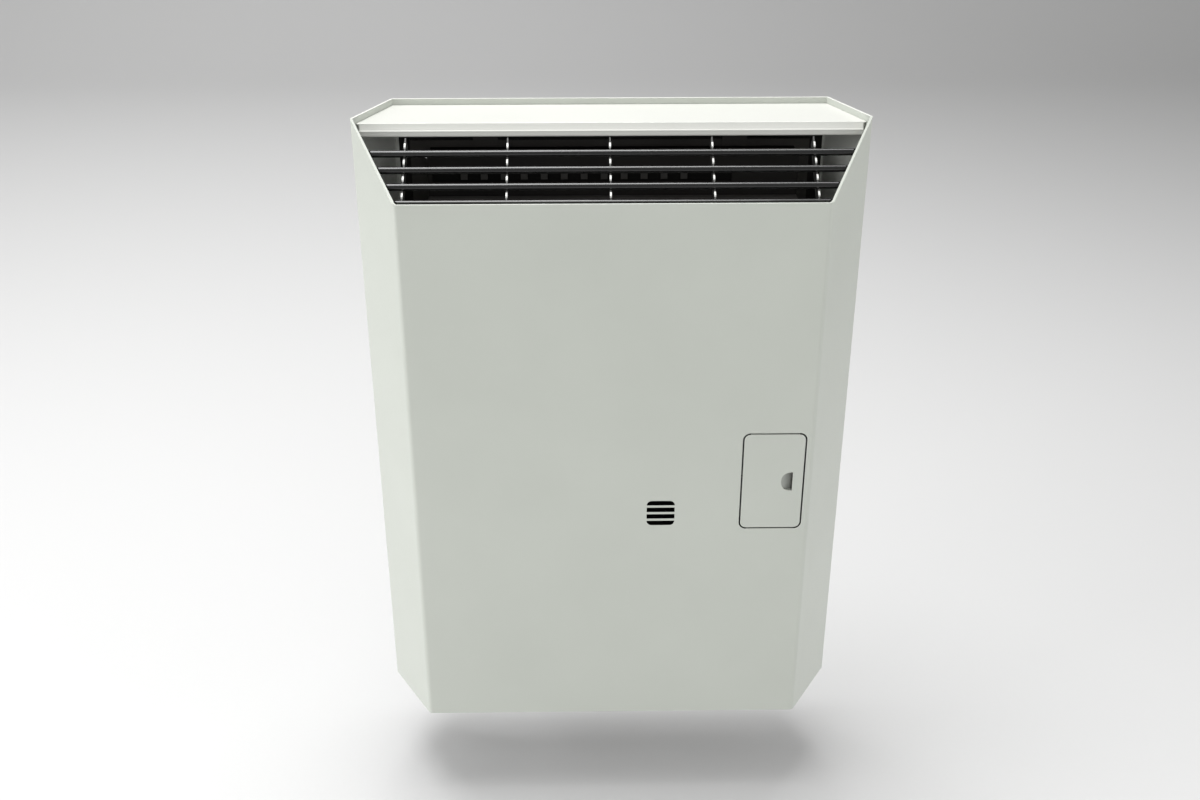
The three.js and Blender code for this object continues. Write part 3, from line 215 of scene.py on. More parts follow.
class Finish:
    """A material being written: its tree, its coordinates and any node by type."""

    def __init__(self, name, **uniform):
        self.material = bpy.data.materials.new(name)
        self.material.use_nodes = True
        self.tree = self.material.node_tree
        self.surface = self.tree.nodes["Principled BSDF"]
        for key, value in uniform.items():
            self.surface.inputs[key.replace("_", " ")].default_value = value

    def node(self, kind, settings=None, output=0, **inputs):
        """Any node by its type, with its inputs given by name."""
        made = self.tree.nodes.new("ShaderNode" + kind)
        for key, value in (settings or {}).items():
            setattr(made, key, value)
        for key, value in inputs.items():
            connect(self.tree, made.inputs[key.replace("_", " ")], value)
        return Sock(self.tree, made.outputs[output])

    def place(self):
        """Place on the piece, in metres."""
        return self.node("TexCoord", output="Object")

    def noise(self, scale, detail=3.0, rough=0.5):
        """Cloudy values around one half."""
        return self.node("TexNoise", Vector=self.place(), Scale=scale, Detail=detail, Roughness=rough)

    def mix(self, factor, low, high):
        """A colour between two others."""
        made = self.tree.nodes.new("ShaderNodeMix")
        made.data_type = "RGBA"
        for index, value in ((0, factor), (6, low), (7, high)):
            connect(self.tree, made.inputs[index], value)
        return Sock(self.tree, made.outputs[2])

    def feed(self, socket, value):
        """Leads a result into the surface."""
        connect(self.tree, self.surface.inputs[socket], value)

    def bump(self, height, distance, strength=1.0):
        """Small relief, with its height in metres."""
        self.feed("Normal", self.node(
            "Bump", Height=height, Distance=distance, Strength=strength, output="Normal",
        ))


def tone(red, green, blue):
    """A colour written as a screen shows it, 0 to 255, turned into scene light."""
    linear = [
        c / 255 / 12.92 if c / 255 < 0.04045 else ((c / 255 + 0.055) / 1.055) ** 2.4
        for c in (red, green, blue)
    ]
    return (*linear, 1.0)


print("mid grey as scene light:", [round(c, 3) for c in tone(128, 128, 128)])

# %% [markdown]
# ## The studio
#
# The heater was photographed in front of pale paper that rises behind it. A sheet bent up at
# the back has no corner line, so the eye stays on the object. The paper's colour carries a
# painted falloff of light: greyer far away, almost white near the camera and a little lighter
# to the left, which one gradient along its depth and a little across gives.

# %% Paper sweep
FLOOR = -0.405
PAPER_NEAR, PAPER_TOP, PAPER_HALF = -4.0, 5.0, 7.0
BEND_START, BEND_RADIUS = 3.2, 1.6
sweep = bpy.data.meshes.new("paper_sweep")
profile = [(PAPER_NEAR, FLOOR), (BEND_START, FLOOR)]
profile += [
    (BEND_START + BEND_RADIUS * math.sin(t), FLOOR + BEND_RADIUS * (1 - math.cos(t)))
    for t in (math.radians(6 * step) for step in range(1, 16))
]
profile.append((BEND_START + BEND_RADIUS, PAPER_TOP))
sweep_points = [(x, y, z) for y, z in profile for x in (-PAPER_HALF, PAPER_HALF)]
sweep_faces = [(2 * i, 2 * i + 1, 2 * i + 3, 2 * i + 2) for i in range(len(profile) - 1)]
sweep.from_pydata(sweep_points, [], sweep_faces)
sweep.shade_smooth()
paper = bpy.data.objects.new("paper_sweep", sweep)
bpy.context.scene.collection.objects.link(paper)
paper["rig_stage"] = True

paper_finish = Finish("paper", Roughness=0.95)
paper_place = paper_finish.node("SeparateXYZ", Vector=paper_finish.place(), output="Y")
paper_side = paper_finish.node("SeparateXYZ", Vector=paper_finish.place(), output="X")
# painted falloff of light: the paper is painted lighter near the camera and to the left, greyer far away
paper_falloff_along_depth = (paper_place + paper_side * 0.35).ramp(-0.6, 4.2)
paper_painted_falloff = paper_finish.mix(paper_falloff_along_depth ** 0.6, tone(230, 230, 230), tone(190, 190, 190))
grain = paper_finish.noise(260.0, 4.0).ramp(0.3, 0.7)
paper_finish.feed("Base Color", paper_finish.mix(grain * 0.04, paper_painted_falloff, tone(200, 200, 200)))
paper_finish.bump(paper_finish.noise(400.0), 0.0002, 0.3)
sweep.materials.append(paper_finish.material)
print("paper points:", len(sweep_points))

# %% [markdown]
# ## Soft light
#
# The pale panels hardly change across a face, so the light came from large diffusers. One
# hangs above and slightly behind, which makes the lid almost white. A wide one stands on the
# left, because the left chamfer is brighter than the right one. The front gets a weak fill
# that throws no mirror image, since the blades show none.

# %% Diffusers
def diffuser(name, place, aim, width, height, power, mirrored=True):
    """A flat lamp that faces a point. One that isn't mirrored leaves no image on paint."""
    lamp = bpy.data.lights.new(name, "AREA")
    lamp.shape = "RECTANGLE"
    lamp.size, lamp.size_y = width, height
    lamp.energy = power
    holder = bpy.data.objects.new(name, lamp)
    holder.location = place
    holder.rotation_mode = "QUATERNION"
    holder.rotation_quaternion = (Vector(aim) - Vector(place)).to_track_quat("-Z", "Y")
    holder.visible_glossy = mirrored
    bpy.context.scene.collection.objects.link(holder)


diffuser("overhead", (-0.3, 0.25, 2.5), (0.0, -0.05, 0.0), 2.0, 1.6, 64)
diffuser("left_side", (-2.7, -0.9, 0.4), (0.0, -0.1, -0.1), 1.8, 2.2, 51)
diffuser("right_side", (2.8, -0.8, 0.3), (0.0, -0.1, -0.1), 1.6, 2.0, 24)
diffuser("front_fill", (0.5, -3.4, 0.9), (0.0, -0.1, 0.0), 2.6, 1.8, 17, mirrored=False)
diffuser("backdrop_wash", (-1.6, 1.6, 2.6), (-0.8, 4.4, 0.3), 2.4, 1.2, 50)
world = bpy.data.worlds.new("room")
world.use_nodes = True
world.node_tree.nodes["Background"].inputs["Color"].default_value = (1.0, 1.0, 0.99, 1.0)
world.node_tree.nodes["Background"].inputs["Strength"].default_value = 0.37
bpy.context.scene.world = world
bpy.context.scene.view_settings.view_transform = "Standard"

# %% [markdown]
# ## Paint
#
# The case wears a light grey stove enamel. Sprayed enamel dries with a very fine orange
# peel and its tone wanders a little over a big panel. Two noises give that: a broad one for
# the tone and a fine one for the skin. The lid is whiter, the blades are near black.

# %% Enamels
def enamel(name, shade, other_shade, rough, peel=1.0, **uniform):
    """Sprayed paint in two near shades, with a skin as rough as its peel says."""
    finish = Finish(name, **uniform)
    drift = finish.noise(9.0, 2.0).ramp(0.3, 0.7)
    finish.feed("Base Color", finish.mix(drift, shade, other_shade))
    skin = finish.noise(520.0, 2.0)
    finish.feed("Roughness", skin.ramp(0.3, 0.7) * 0.08 + rough)
    finish.bump(skin, 0.00006 * peel, 0.5)
    return finish.material


finishes = {
    "enamel": enamel("stove_enamel", tone(196, 200, 192), tone(193, 197, 189), 0.36, Coat_Weight=0.15),
    "top_enamel": enamel("lid_enamel", tone(240, 241, 235), tone(237, 238, 232), 0.34, Coat_Weight=0.2),
    # painted shade for the lid's level faces, darker than its lip under the light from above
    "lid_plate": enamel(
        "lid_top_painted_shade", tone(220, 221, 215), tone(217, 218, 212), 0.34, Coat_Weight=0.2,
    ),
    "blade": enamel("blade_enamel", tone(13, 13, 13), tone(18, 18, 18), 0.2, peel=0.5, Coat_Weight=0.6),
    "stay": enamel("stay_enamel", tone(236, 236, 232), tone(228, 228, 224), 0.32, Coat_Weight=0.2),
    "exchanger": enamel(
        "heatproof_black", tone(22, 21, 21), tone(34, 31, 29), 0.86, peel=3.0, Specular_IOR_Level=0.12,
    ),
    # painted light: the case's inner walls get a lighter grey than its outside, since little light
    # reaches them
    "inside": enamel("inner_wall_painted_light", tone(236, 238, 232), tone(226, 228, 222), 0.6, peel=2.0),
    # painted shade for the stays' webs, which the blades shade
    "web": enamel("stay_web_painted_shade", tone(58, 58, 57), tone(70, 70, 68), 0.4),
    "recess": enamel("recess_shade", tone(166, 169, 163), tone(158, 161, 155), 0.5),
    "strip": enamel(
        "strip_black", tone(22, 22, 21), tone(27, 26, 25), 0.6, peel=2.0, Specular_IOR_Level=0.12,
    ),
    "tab": enamel("scuffed_tab", tone(74, 73, 71), tone(68, 67, 65), 0.5, peel=2.0),
    # a dark grey used as painted light on the crown's black fronts and as painted shade on the case's
    # back wall
    "crown": enamel(
        "painted_dark_grey", tone(42, 41, 41), tone(48, 46, 44), 0.8, peel=3.0, Specular_IOR_Level=0.2,
    ),
    # a mid grey used as painted light on the black tops and plates inside, and as painted shade in the
    # door's pull
    "light_shade_grey": enamel(
        "light_shade_grey_paint", tone(92, 90, 88), tone(78, 76, 74), 0.9, peel=3.0, Specular_IOR_Level=0.12,
    ),
}
print("paints:", sorted(finishes))

# %% [markdown]
# ## Bare metal
#
# Galvanised sheet shows flat crystals of zinc, and each crystal reflects a little
# differently. A cell pattern with one value per cell gives it. Castings are grainy, brass
# and copper darken in soft patches, and turned steel keeps a fine grain. The panel behind
# the knob also carries a printed scale: seven ticks on a ring, found from distance and angle.

# %% Metals
def metal(name, bright, dull, rough, patch=40.0, grit=900.0, depth=0.00008):
    """Bare metal that has dulled in soft patches."""
    finish = Finish(name, Metallic=0.9)
    age = finish.noise(patch, 4.0).ramp(0.35, 0.7)
    finish.feed("Base Color", finish.mix(age, bright, dull))
    skin = finish.noise(grit, 3.0)
    finish.feed("Roughness", age * 0.12 + skin * 0.1 + rough)
    finish.bump(skin, depth, 0.5)
    return finish.material


knob_turn = next(j for j in frame["record"]["behaviour"]["joints"] if j["name"] == "knob_turn")
KNOB = (knob_turn["pos_m"][0], knob_turn["pos_m"][2])
TICKS_PER_HALF_TURN = 4
SCALE_HALF_TURN = 2.45
TICK_HALF, TICK_INNER, TICK_OUTER = 0.4 * MM, 21.6 * MM, 25.0 * MM


def polar(finish, x, z):
    """Distance and angle around a point of the front, with the angle zero upwards."""
    place = finish.place()
    across = finish.node("SeparateXYZ", Vector=place, output="X") - x
    upwards = finish.node("SeparateXYZ", Vector=place, output="Z") - z
    return (across * across + upwards * upwards) ** 0.5, across.angle_to(upwards)


def galvanised(scale_at=None):
    """Zinc-coated sheet, with a printed scale around a point if one is given."""
    finish = Finish("galvanised_sheet", Metallic=0.85)
    crystal = finish.node("TexVoronoi", Vector=finish.place(), Scale=120.0, output="Color")
    level = finish.node("SeparateColor", Color=crystal, output="Red")
    zinc = finish.mix(level, tone(150, 154, 156), tone(186, 190, 191))
    if scale_at:
        far, turn = polar(finish, *scale_at)
        aside = abs((turn * TICKS_PER_HALF_TURN).sine()) * far / TICKS_PER_HALF_TURN
        on_ring = (far > TICK_INNER) * (far < TICK_OUTER)
        tick = (aside < TICK_HALF) * on_ring * (abs(turn) < SCALE_HALF_TURN)
        zinc = finish.mix(tick, zinc, tone(24, 24, 24))
        finish.feed("Metallic", 0.85 - tick * 0.85)
    finish.feed("Base Color", zinc)
    finish.feed("Roughness", level * 0.2 + 0.32)
    finish.bump(finish.noise(700.0) + level * 0.3, 0.00004, 0.5)
    return finish.material


finishes["galvanised"] = galvanised()
finishes["scale_panel"] = galvanised(scale_at=KNOB)
finishes["zinc"] = metal("zinc_plating", tone(196, 199, 201), tone(168, 170, 170), 0.24)
finishes["steel"] = metal("turned_steel", tone(160, 161, 162), tone(132, 131, 129), 0.28)
finishes["cast_aluminium"] = metal(
    "cast_aluminium", tone(178, 180, 181), tone(150, 151, 151), 0.42, grit=500.0, depth=0.0003,
)
finishes["brass"] = metal("brass", tone(201, 164, 92), tone(160, 122, 66), 0.24, patch=70.0)
finishes["copper"] = metal("copper", tone(196, 124, 88), tone(140, 82, 58), 0.28, patch=90.0)
print("metals added:", len(finishes))

# %% [markdown]
# ## Plastics, ceramic, glass and fibre
#
# Moulded plastic has a satin grain, fired ceramic a few specks and rubber a dull surface.
# The gaskets are pressed mineral fibre, so their noise is stretched into threads. The sight
# glass lets the dark burner space show, so it is a thin clear sheet with a faint haze.

# %% Other finishes
def moulded(name, shade, other_shade, rough, patch=60.0, grit=1400.0, depth=0.00005):
    """Moulded, fired or painted stuff with a fine grain."""
    finish = Finish(name)
    drift = finish.noise(patch, 3.0).ramp(0.4, 0.65)
    finish.feed("Base Color", finish.mix(drift, shade, other_shade))
    skin = finish.noise(grit, 2.0)
    finish.feed("Roughness", skin * 0.12 + rough)
    finish.bump(skin, depth, 0.6)
    return finish.material


def fibre_board():
    """Pressed fibre with threads that run one way."""
    finish = Finish("mineral_fibre")
    stretched = finish.node("Mapping", Vector=finish.place(), Scale=(900.0, 160.0, 260.0))
    thread = finish.node("TexNoise", Vector=stretched, Scale=1.0, Detail=5.0).ramp(0.35, 0.65)
    finish.feed("Base Color", finish.mix(thread, tone(196, 190, 174), tone(222, 217, 204)))
    finish.feed("Roughness", thread * 0.1 + 0.85)
    finish.bump(thread, 0.0003, 0.7)
    return finish.material


def sight_glass():
    """Clear glass with a faint haze."""
    finish = Finish("sight_glass", Transmission_Weight=0.92, IOR=1.47)
    haze = finish.noise(60.0, 4.0).ramp(0.45, 0.8)
    finish.feed("Base Color", finish.mix(haze, tone(222, 230, 228), tone(196, 196, 186)))
    finish.feed("Roughness", haze * 0.15 + 0.04)
    return finish.material


finishes["pointer"] = moulded("pointer_paint", tone(228, 228, 224), tone(216, 216, 212), 0.4)
finishes["black_plastic"] = moulded("black_plastic", tone(34, 34, 35), tone(42, 42, 42), 0.38)
finishes["red_plastic"] = moulded("red_plastic", tone(170, 38, 30), tone(156, 32, 26), 0.34)
finishes["ceramic"] = moulded("ceramic", tone(232, 227, 214), tone(218, 211, 196), 0.4, patch=300.0)
finishes["silicone"] = moulded("silicone", tone(142, 50, 38), tone(128, 44, 34), 0.55)
finishes["magnet"] = moulded("ferrite", tone(52, 49, 46), tone(64, 60, 56), 0.5, grit=800.0, depth=0.0001)
finishes["fibre"] = fibre_board()
finishes["glass"] = sight_glass()
print("finishes:", len(finishes))

# %% [markdown]
# ## From measured solids to worked metal
#
# No real edge is perfectly sharp: sheet is sheared, castings are fettled and plastic leaves
# a mould with small radii. Each solid is copied, its flat facets are merged, and its true
# edges get a small rounding that catches the light. Smooth shading then hides the facets of
# the bends, while the measured size stays as it was.

# %% Rounding a measured solid
slot_of = {row["node"]: row["material_slot"] for row in frame["record"]["subparts"]}
body_of = {
    name: body for body, names in frame["record"]["behaviour"]["bodies"].items() for name in names
}


def add_piece(name, mesh, node):
    """Puts a mesh in place of a node, on the node's body and with its finish."""
    slot = slot_of[node]
    piece = bpy.data.objects.new(name, mesh)
    bpy.context.scene.collection.objects.link(piece)
    mesh.materials.clear()
    mesh.materials.append(finishes[slot])
    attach(piece, body_of[node])
    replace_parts(piece, node)
    return piece


def merged_copy(node):
    """The node's mesh as a clean bmesh, with split corners joined and flat facets merged."""
    work = bmesh.new()
    work.from_mesh(nodes[node].data)
    bmesh.ops.remove_doubles(work, verts=work.verts, dist=0.000002)
    bmesh.ops.dissolve_limit(
        work, angle_limit=math.radians(0.6), verts=work.verts, edges=work.edges,
    )
    return work


def to_mesh(work, name):
    """Writes a bmesh out as a smooth mesh."""
    points = [tuple(v.co) for v in work.verts]
    index = {v: i for i, v in enumerate(work.verts)}
    faces = [[index[v] for v in f.verts] for f in work.faces]
    work.free()
    mesh = bpy.data.meshes.new(name)
    mesh.from_pydata(points, [], faces)
    mesh.shade_smooth()
    return mesh


def soften(piece, width, steps=2, angle=30):
    """Rounds the edges that are sharper than an angle. The width is in millimetres."""
    bevel = piece.modifiers.new("edge", "BEVEL")
    bevel.width = width * MM
    bevel.segments = steps
    bevel.limit_method = "ANGLE"
    bevel.angle_limit = math.radians(angle)
    bevel.miter_outer = "MITER_ARC"
    bevel.harden_normals = True
    weighted = piece.modifiers.new("shading", "WEIGHTED_NORMAL")
    weighted.keep_sharp = True
    weighted.weight = 60
    return piece


def worked(node, name, width=0.25, steps=2, angle=30):
    """A node's solid with rounded edges, as a piece of the picture."""
    return soften(add_piece(name, to_mesh(merged_copy(node), name), node), width, steps, angle)


def paint_faces(piece, finish, test):
    """Gives the faces whose centre and normal pass the test another finish."""
    piece.data.materials.append(finishes[finish])
    chosen = [f for f in piece.data.polygons if test(f.center, f.normal)]
    for face in chosen:
        face.material_index = len(piece.data.materials) - 1
    return len(chosen)


print("nodes to dress:", len(slot_of))

# %% [markdown]
# ## The case in plan
#
# The case is one folded sheet with a hemmed rim. From above it has six sides, and most
# questions about one of its faces come down to how deep the face lies below that outline.
# The six corners are written once here, so the question becomes one small function. Which
# way a face looks is the other question, and a hair is the tolerance for places.

# %% Plan of the case
case_low, case_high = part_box("casing")
door_low, door_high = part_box("control_door")
WIDEST_Y = -0.075
half_plan = [(0.19225, case_low.y), (0.2358, WIDEST_Y), (0.208, 0.0)]
PLAN = [(-x, y) for x, y in reversed(half_plan)] + half_plan
HAIR = 0.1 * MM
FACING, ACROSS = 0.95, 0.3


def depth_below_skin(point):
    """How far a point lies inside the outer plan, in millimetres."""
    depths = []
    for (ax, ay), (bx, by) in zip(PLAN, PLAN[1:] + PLAN[:1]):
        side = Vector((bx - ax, by - ay)).normalized()
        depths.append((point.x - ax) * -side.y + (point.y - ay) * side.x)
    return min(depths) / MM


def faces_up(normal):
    """Belongs to a level face."""
    return normal.z > FACING


def faces_front(normal):
    """Belongs to a face that looks away from the wall."""
    return normal.y < -FACING


def is_edge_on(normal):
    """Belongs to a face that is seen edge-on from the front."""
    return abs(normal.y) < ACROSS


print("half the case's depth, in mm:", round(depth_below_skin(case_low.lerp(case_high, 0.5)), 1))

# %% [markdown]
# ## Folded edges and punched edges
#
# A folded edge of a sheet is round, but a punch leaves a sharp one, so the sight slots and
# the door's opening look crisper than the rim. A weight on each edge tells the rounding how
# wide to be. Two separate roundings would need two separate sheets.

# %% Weights for the rounding
SLOTS_LOW, SLOTS_HIGH = (0.033, -0.0692), (0.0602, -0.0404)
FRONT_INSIDE = -0.1449
OPENING_ROOM = 2 * MM
PUNCHED = 0.3


def in_slots(point):
    """Lies within the block of sight slots, seen from the front."""
    return SLOTS_LOW[0] < point.x < SLOTS_HIGH[0] and SLOTS_LOW[1] < point.z < SLOTS_HIGH[1]


def near_door(point):
    """Lies within the door's outline or just around it, seen from the front."""
    return all(low - OPENING_ROOM < value < high + OPENING_ROOM
               for value, low, high in zip(point.xz, door_low.xz, door_high.xz))


def is_cut(point):
    """Lies on the edge of a hole punched in the front: the door's opening or a sight slot."""
    return (near_door(point) or in_slots(point)) and point.y < FRONT_INSIDE


def weigh_edges(piece, angle=30):
    """Marks folded edges for a full rounding and punched edges for a sharp one."""
    work = bmesh.new()
    work.from_mesh(piece.data)
    weight = work.edges.layers.float.new("bevel_weight_edge")
    punched = 0
    for edge in work.edges:
        if len(edge.link_faces) == 2 and edge.calc_face_angle() > math.radians(angle):
            cut = is_cut((edge.verts[0].co + edge.verts[1].co) / 2)
            edge[weight] = PUNCHED if cut else 1.0
            punched += cut
    work.to_mesh(piece.data)
    work.free()
    piece.modifiers["edge"].limit_method = "WEIGHT"
    return punched


slot_size = [round((high - low) / MM, 1) for low, high in zip(SLOTS_LOW, SLOTS_HIGH)]
print("block of slots in mm:", slot_size)

# %% [markdown]
# ## The case itself
#
# The measured hem follows the sloping outlet, but the real one lies level along the front
# and shows as a thin bright line, and the rim's level faces take the whiter lid enamel as a
# painted highlight. Its inner corners are lowered, and the change fades out in the two bends.
# The back wall is cut where the lid and the sides end, so that the part below them can take a
# painted shade: its inner faces there are painted dark grey where the lid shades them. The
# inner walls are painted a lighter grey than the outside, as painted light where little light
# reaches. The cut edges of the slots and at the sides of the door are painted black as painted
# shade, so the slots and the gap read dark.

# %% Case, inside and outside
HEM_THICKNESS, BENDS_END, HEM_RISE = 2.0 * MM, 3.9 * MM, 1.5 * MM
HEM_LOW, HEM_HIGH = 0.2612, 0.2633
LID_FLOOR, WALL_LEFT, WALL_RIGHT = 0.2995, -0.2034, 0.2052
BACK_WALL, BACK_FACE = -0.0035, -0.0015
RIM = case_high.z - 0.5 * MM
LIGHTENED_INNER_BAND = (0.75, 1.4)
DOOR_SIDES, DOOR_EDGE_BACK = 7 * MM, -0.139


def level_front_hem(work):
    """Lays the top of the front's hem level, and fades the change along its two bends."""
    lowered = 0
    for vertex in work.verts:
        behind = vertex.co.y - case_low.y
        if HEM_THICKNESS - HAIR < behind < BENDS_END and HEM_LOW < vertex.co.z < HEM_HIGH:
            fade = min(1.0, (BENDS_END - behind) / (BENDS_END - HEM_THICKNESS))
            vertex.co.z -= HEM_RISE * fade
            lowered += 1
    return lowered


def slice_at(work, place, normal, test):
    """Cuts the faces whose centre passes the test along a plane, and leaves them joined."""
    chosen = [f for f in work.faces if test(f.calc_center_median())]
    edges = {e for f in chosen for e in f.edges}
    verts = {v for f in chosen for v in f.verts}
    bmesh.ops.bisect_plane(work, geom=[*verts, *edges, *chosen], plane_co=place, plane_no=normal)


def on_back(point):
    """Lies on the back wall of the case."""
    return point.y > BACK_WALL


def in_door_gap(centre, normal):
    """A cut edge of the sheet around the door, apart from its long top and bottom."""
    beside = centre.x < door_low.x + DOOR_SIDES or centre.x > door_high.x - DOOR_SIDES
    return beside and near_door(centre) and is_edge_on(normal) and centre.y < DOOR_EDGE_BACK


shell = merged_copy("casing")
print("lowered corners of the hem:", level_front_hem(shell))
slice_at(shell, (0, 0, LID_FLOOR), (0, 0, 1), on_back)
slice_at(shell, (WALL_LEFT, 0, 0), (1, 0, 0), on_back)
slice_at(shell, (WALL_RIGHT, 0, 0), (1, 0, 0), on_back)
case = soften(add_piece("outer_case", to_mesh(shell, "outer_case"), "casing"), 0.4, 3)
print("punched edges:", weigh_edges(case))
# painted light: the case's inner walls are painted lighter than its outside
lightened_inner_walls = paint_faces(
    case, "inside",
    lambda c, n: LIGHTENED_INNER_BAND[0] < depth_below_skin(c) < LIGHTENED_INNER_BAND[1] and abs(n.z) < ACROSS,
)
# painted shade: the back wall's inner faces below the lid are painted dark grey
shaded_back_wall = paint_faces(
    case, "crown",
    lambda c, n: faces_front(n) and c.y > BACK_FACE
    and c.z < LID_FLOOR and WALL_LEFT < c.x < WALL_RIGHT,
)
# painted highlight: the rim's level faces take the whiter lid enamel
hem = paint_faces(case, "top_enamel", lambda c, n: faces_up(n) and c.z > RIM)
# painted shade: the cut edges at the door's sides and of the sight slots are painted black, so the gap
# and the slots read dark
gap_edges = paint_faces(case, "exchanger", in_door_gap)
slot_edges = paint_faces(
    case, "exchanger", lambda c, n: c.y < FRONT_INSIDE and in_slots(c) and is_edge_on(n),
)
print("inner faces:", lightened_inner_walls, "dark back faces:", shaded_back_wall, "rim faces:", hem)
print("gap faces:", gap_edges, "slot faces:", slot_edges)

# %% [markdown]
# ## The lid
#
# The lid's front lip flares before it ends in a bead and a hem, so it grows lighter towards
# the bead. The flat lip of the solid is cut into bands, and each band is pulled forward by
# its drop. Its ends are nicked, which leaves a dark notch at each corner of the outlet.

# %% Lid with a flared lip
lid_low, lid_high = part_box("top_panel")
BEND, CRISP = 1.4 * MM, 0.5 * MM
LIP_TOP = lid_high.z - CRISP
LIP_FACE, LIP_BACK, LIP_START = lid_low.y + 0.6 * MM, lid_low.y + 3.5 * MM, lid_high.z - 0.6 * MM
BEAD_DROP, BEAD_LOOK, LIP_DROP = 7.4 * MM, 7.0 * MM, 12.3 * MM
BEAD_FLAT, FLARE_STRAIGHT, FLARE_CURVED = 0.5, 1.2 * MM, 0.8 * MM
LIP_BANDS, BAND = 7, 0.8 * MM
LIP_END, END_NICK = lid_high.x - 4 * MM, 3.0 * MM


def lip_drop(drop):
    """Raises the bead a little while the lip's top and bottom stay."""
    if drop < BEAD_DROP:
        return drop * BEAD_LOOK / BEAD_DROP
    return BEAD_LOOK + (drop - BEAD_DROP) * (LIP_DROP - BEAD_LOOK) / (LIP_DROP - BEAD_DROP)


lid = merged_copy("top_panel")
for band in range(1, LIP_BANDS + 1):
    level = lid_high.z - BEND - band * BAND
    slice_at(lid, (0, 0, level), (0, 0, 1), lambda c: True)
for vert in lid.verts:
    place = vert.co
    arm = Vector((place.y - LIP_FACE - BEND, place.z - lid_high.z + BEND))
    if arm.x <= 0 and arm.y >= 0 and abs(arm.length - BEND) < HAIR:
        arm *= CRISP / BEND
        place.y = LIP_FACE + CRISP + arm.x
        place.z = lid_high.z - CRISP + arm.y
    elif place.y < LIP_BACK and place.z < LIP_START:
        place.z = lid_high.z - lip_drop(lid_high.z - place.z)
        drop = min(1.0, (LIP_TOP - place.z) / (BEAD_LOOK - CRISP))
        place.y = max(place.y, LIP_FACE - (LIP_FACE - place.y) * BEAD_FLAT)
        place.y -= FLARE_STRAIGHT * drop + FLARE_CURVED * drop ** 2
        if abs(place.x) > LIP_END:
            place.x -= math.copysign(END_NICK, place.x)
lid_piece = soften(add_piece("lid", to_mesh(lid, "lid"), "top_panel"), 0.2, 2, 40)
# painted shade: the lid's level faces are painted a darker white than its lip, against the strong light
# from above
flat = paint_faces(lid_piece, "lid_plate", lambda c, n: faces_up(n))
lid_size = [round((high - low) / MM, 1) for low, high in zip(lid_low, lid_high)]
print("flat faces:", flat, "lid in mm:", lid_size)

# %% [markdown]
# ## Grille
#
# Each blade is a rolled profile with a round nose and a thin tail. Stays tie the blades
# together, and each has a rounded boss above every blade. Only the boss's face is white and
# catches the light as a small pill. The thin web behind it is painted dark grey as painted
# shade, where the blades shade the stay.

# %% Blades, stays and end brackets
OUTLET_DROP, OUTLET_DEPTH = 58 * MM, 71.5 * MM
SLOPE = math.atan2(OUTLET_DROP, OUTLET_DEPTH)
BOSS_FOOT = 4.35


def depth_below_slope(point):
    """How far a point lies behind the plane of the sloping outlet, in millimetres."""
    back, above = point.y - WIDEST_Y, point.z - case_high.z
    return (back * math.sin(SLOPE) - above * math.cos(SLOPE)) / MM


for number in range(1, 5):
    worked(f"grille_blade_{number}", f"blade_{number}", 0.15, 2, 40)
for number in range(1, 6):
    stay = worked(f"grille_stay_{number}", f"stay_{number}", 0.25, 3, 30)
    # painted shade: the stay's web behind the bosses is painted dark grey
    paint_faces(stay, "web", lambda c, n: depth_below_slope(c) > BOSS_FOOT)
for side in ("left", "right"):
    worked(f"grille_end_bracket_{side}", f"end_bracket_{side}", 0.2)

# %% [markdown]
# ## Control door
#
# The door is a small pressed lid. Its half-moon pull is a deep recess that a finger fills,
# so little light reaches its floor. The floor and walls of the recess get a darker shade.
# The flat right wall of the pull is painted mid grey, also as painted shade. The sides of the
# door are painted black like those of its opening, as painted shade that keeps the gap dark.

# %% Door with its pull
PULL_LEFT, PULL_WALL, PULL_RIGHT = 0.161, 0.173, 0.1755
PULL_MIDDLE, PULL_HALF = -0.0203, 0.0115
DOOR_FACE = door_low.y + 0.2 * MM


def in_pull(point):
    """Lies in the block of the door that holds the finger pull, seen from the front."""
    return PULL_LEFT < point.x < PULL_RIGHT and abs(point.z - PULL_MIDDLE) < PULL_HALF


door = worked("control_door", "door", 0.2)
shaded = paint_faces(
    door, "recess",
    lambda c, n: in_pull(c) and c.y > DOOR_FACE and (n.y < -0.1 or abs(n.x) > 0.5),
)
# painted shade: the pull's flat right wall is painted mid grey
wall = paint_faces(door, "light_shade_grey", lambda c, n: in_pull(c) and c.x > PULL_WALL and n.x < -0.8)
# painted shade: the door's sides are painted black, so the gap reads dark
rim = paint_faces(door, "exchanger", in_door_gap)
print("faces in the pull:", shaded, "its wall:", wall, "door edges:", rim)

# %% [markdown]
# ## Knob
#
# A thermostat knob has a ribbed edge for wet or cold fingers and a white line that points at
# the scale. The ribs are small closed ridges set around the body. The line is a strip cut
# into the face of the grip, because a moulded line lies flush with the plastic.

# %% Knob with ribs and a pointer line
knob_low, knob_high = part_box("thermostat_knob")
RIBS, RIB_FOOT, RIB_TOP, RIB_HALF = 36, 17.6 * MM, 18.7 * MM, 0.75 * MM
RIB_REAR, RIB_FRONT = knob_high.y - 3.8 * MM, knob_high.y - 13.6 * MM
RIB_OUTLINE = ((-1.0, RIB_FOOT), (-0.4, RIB_TOP), (0.4, RIB_TOP), (1.0, RIB_FOOT))
LINE_HALF, LINE_FOOT = 0.6 * MM, 4 * MM
GRIP_FACE = knob_low.y + HAIR
knob_axis = Vector((KNOB[0], 0, KNOB[1]))


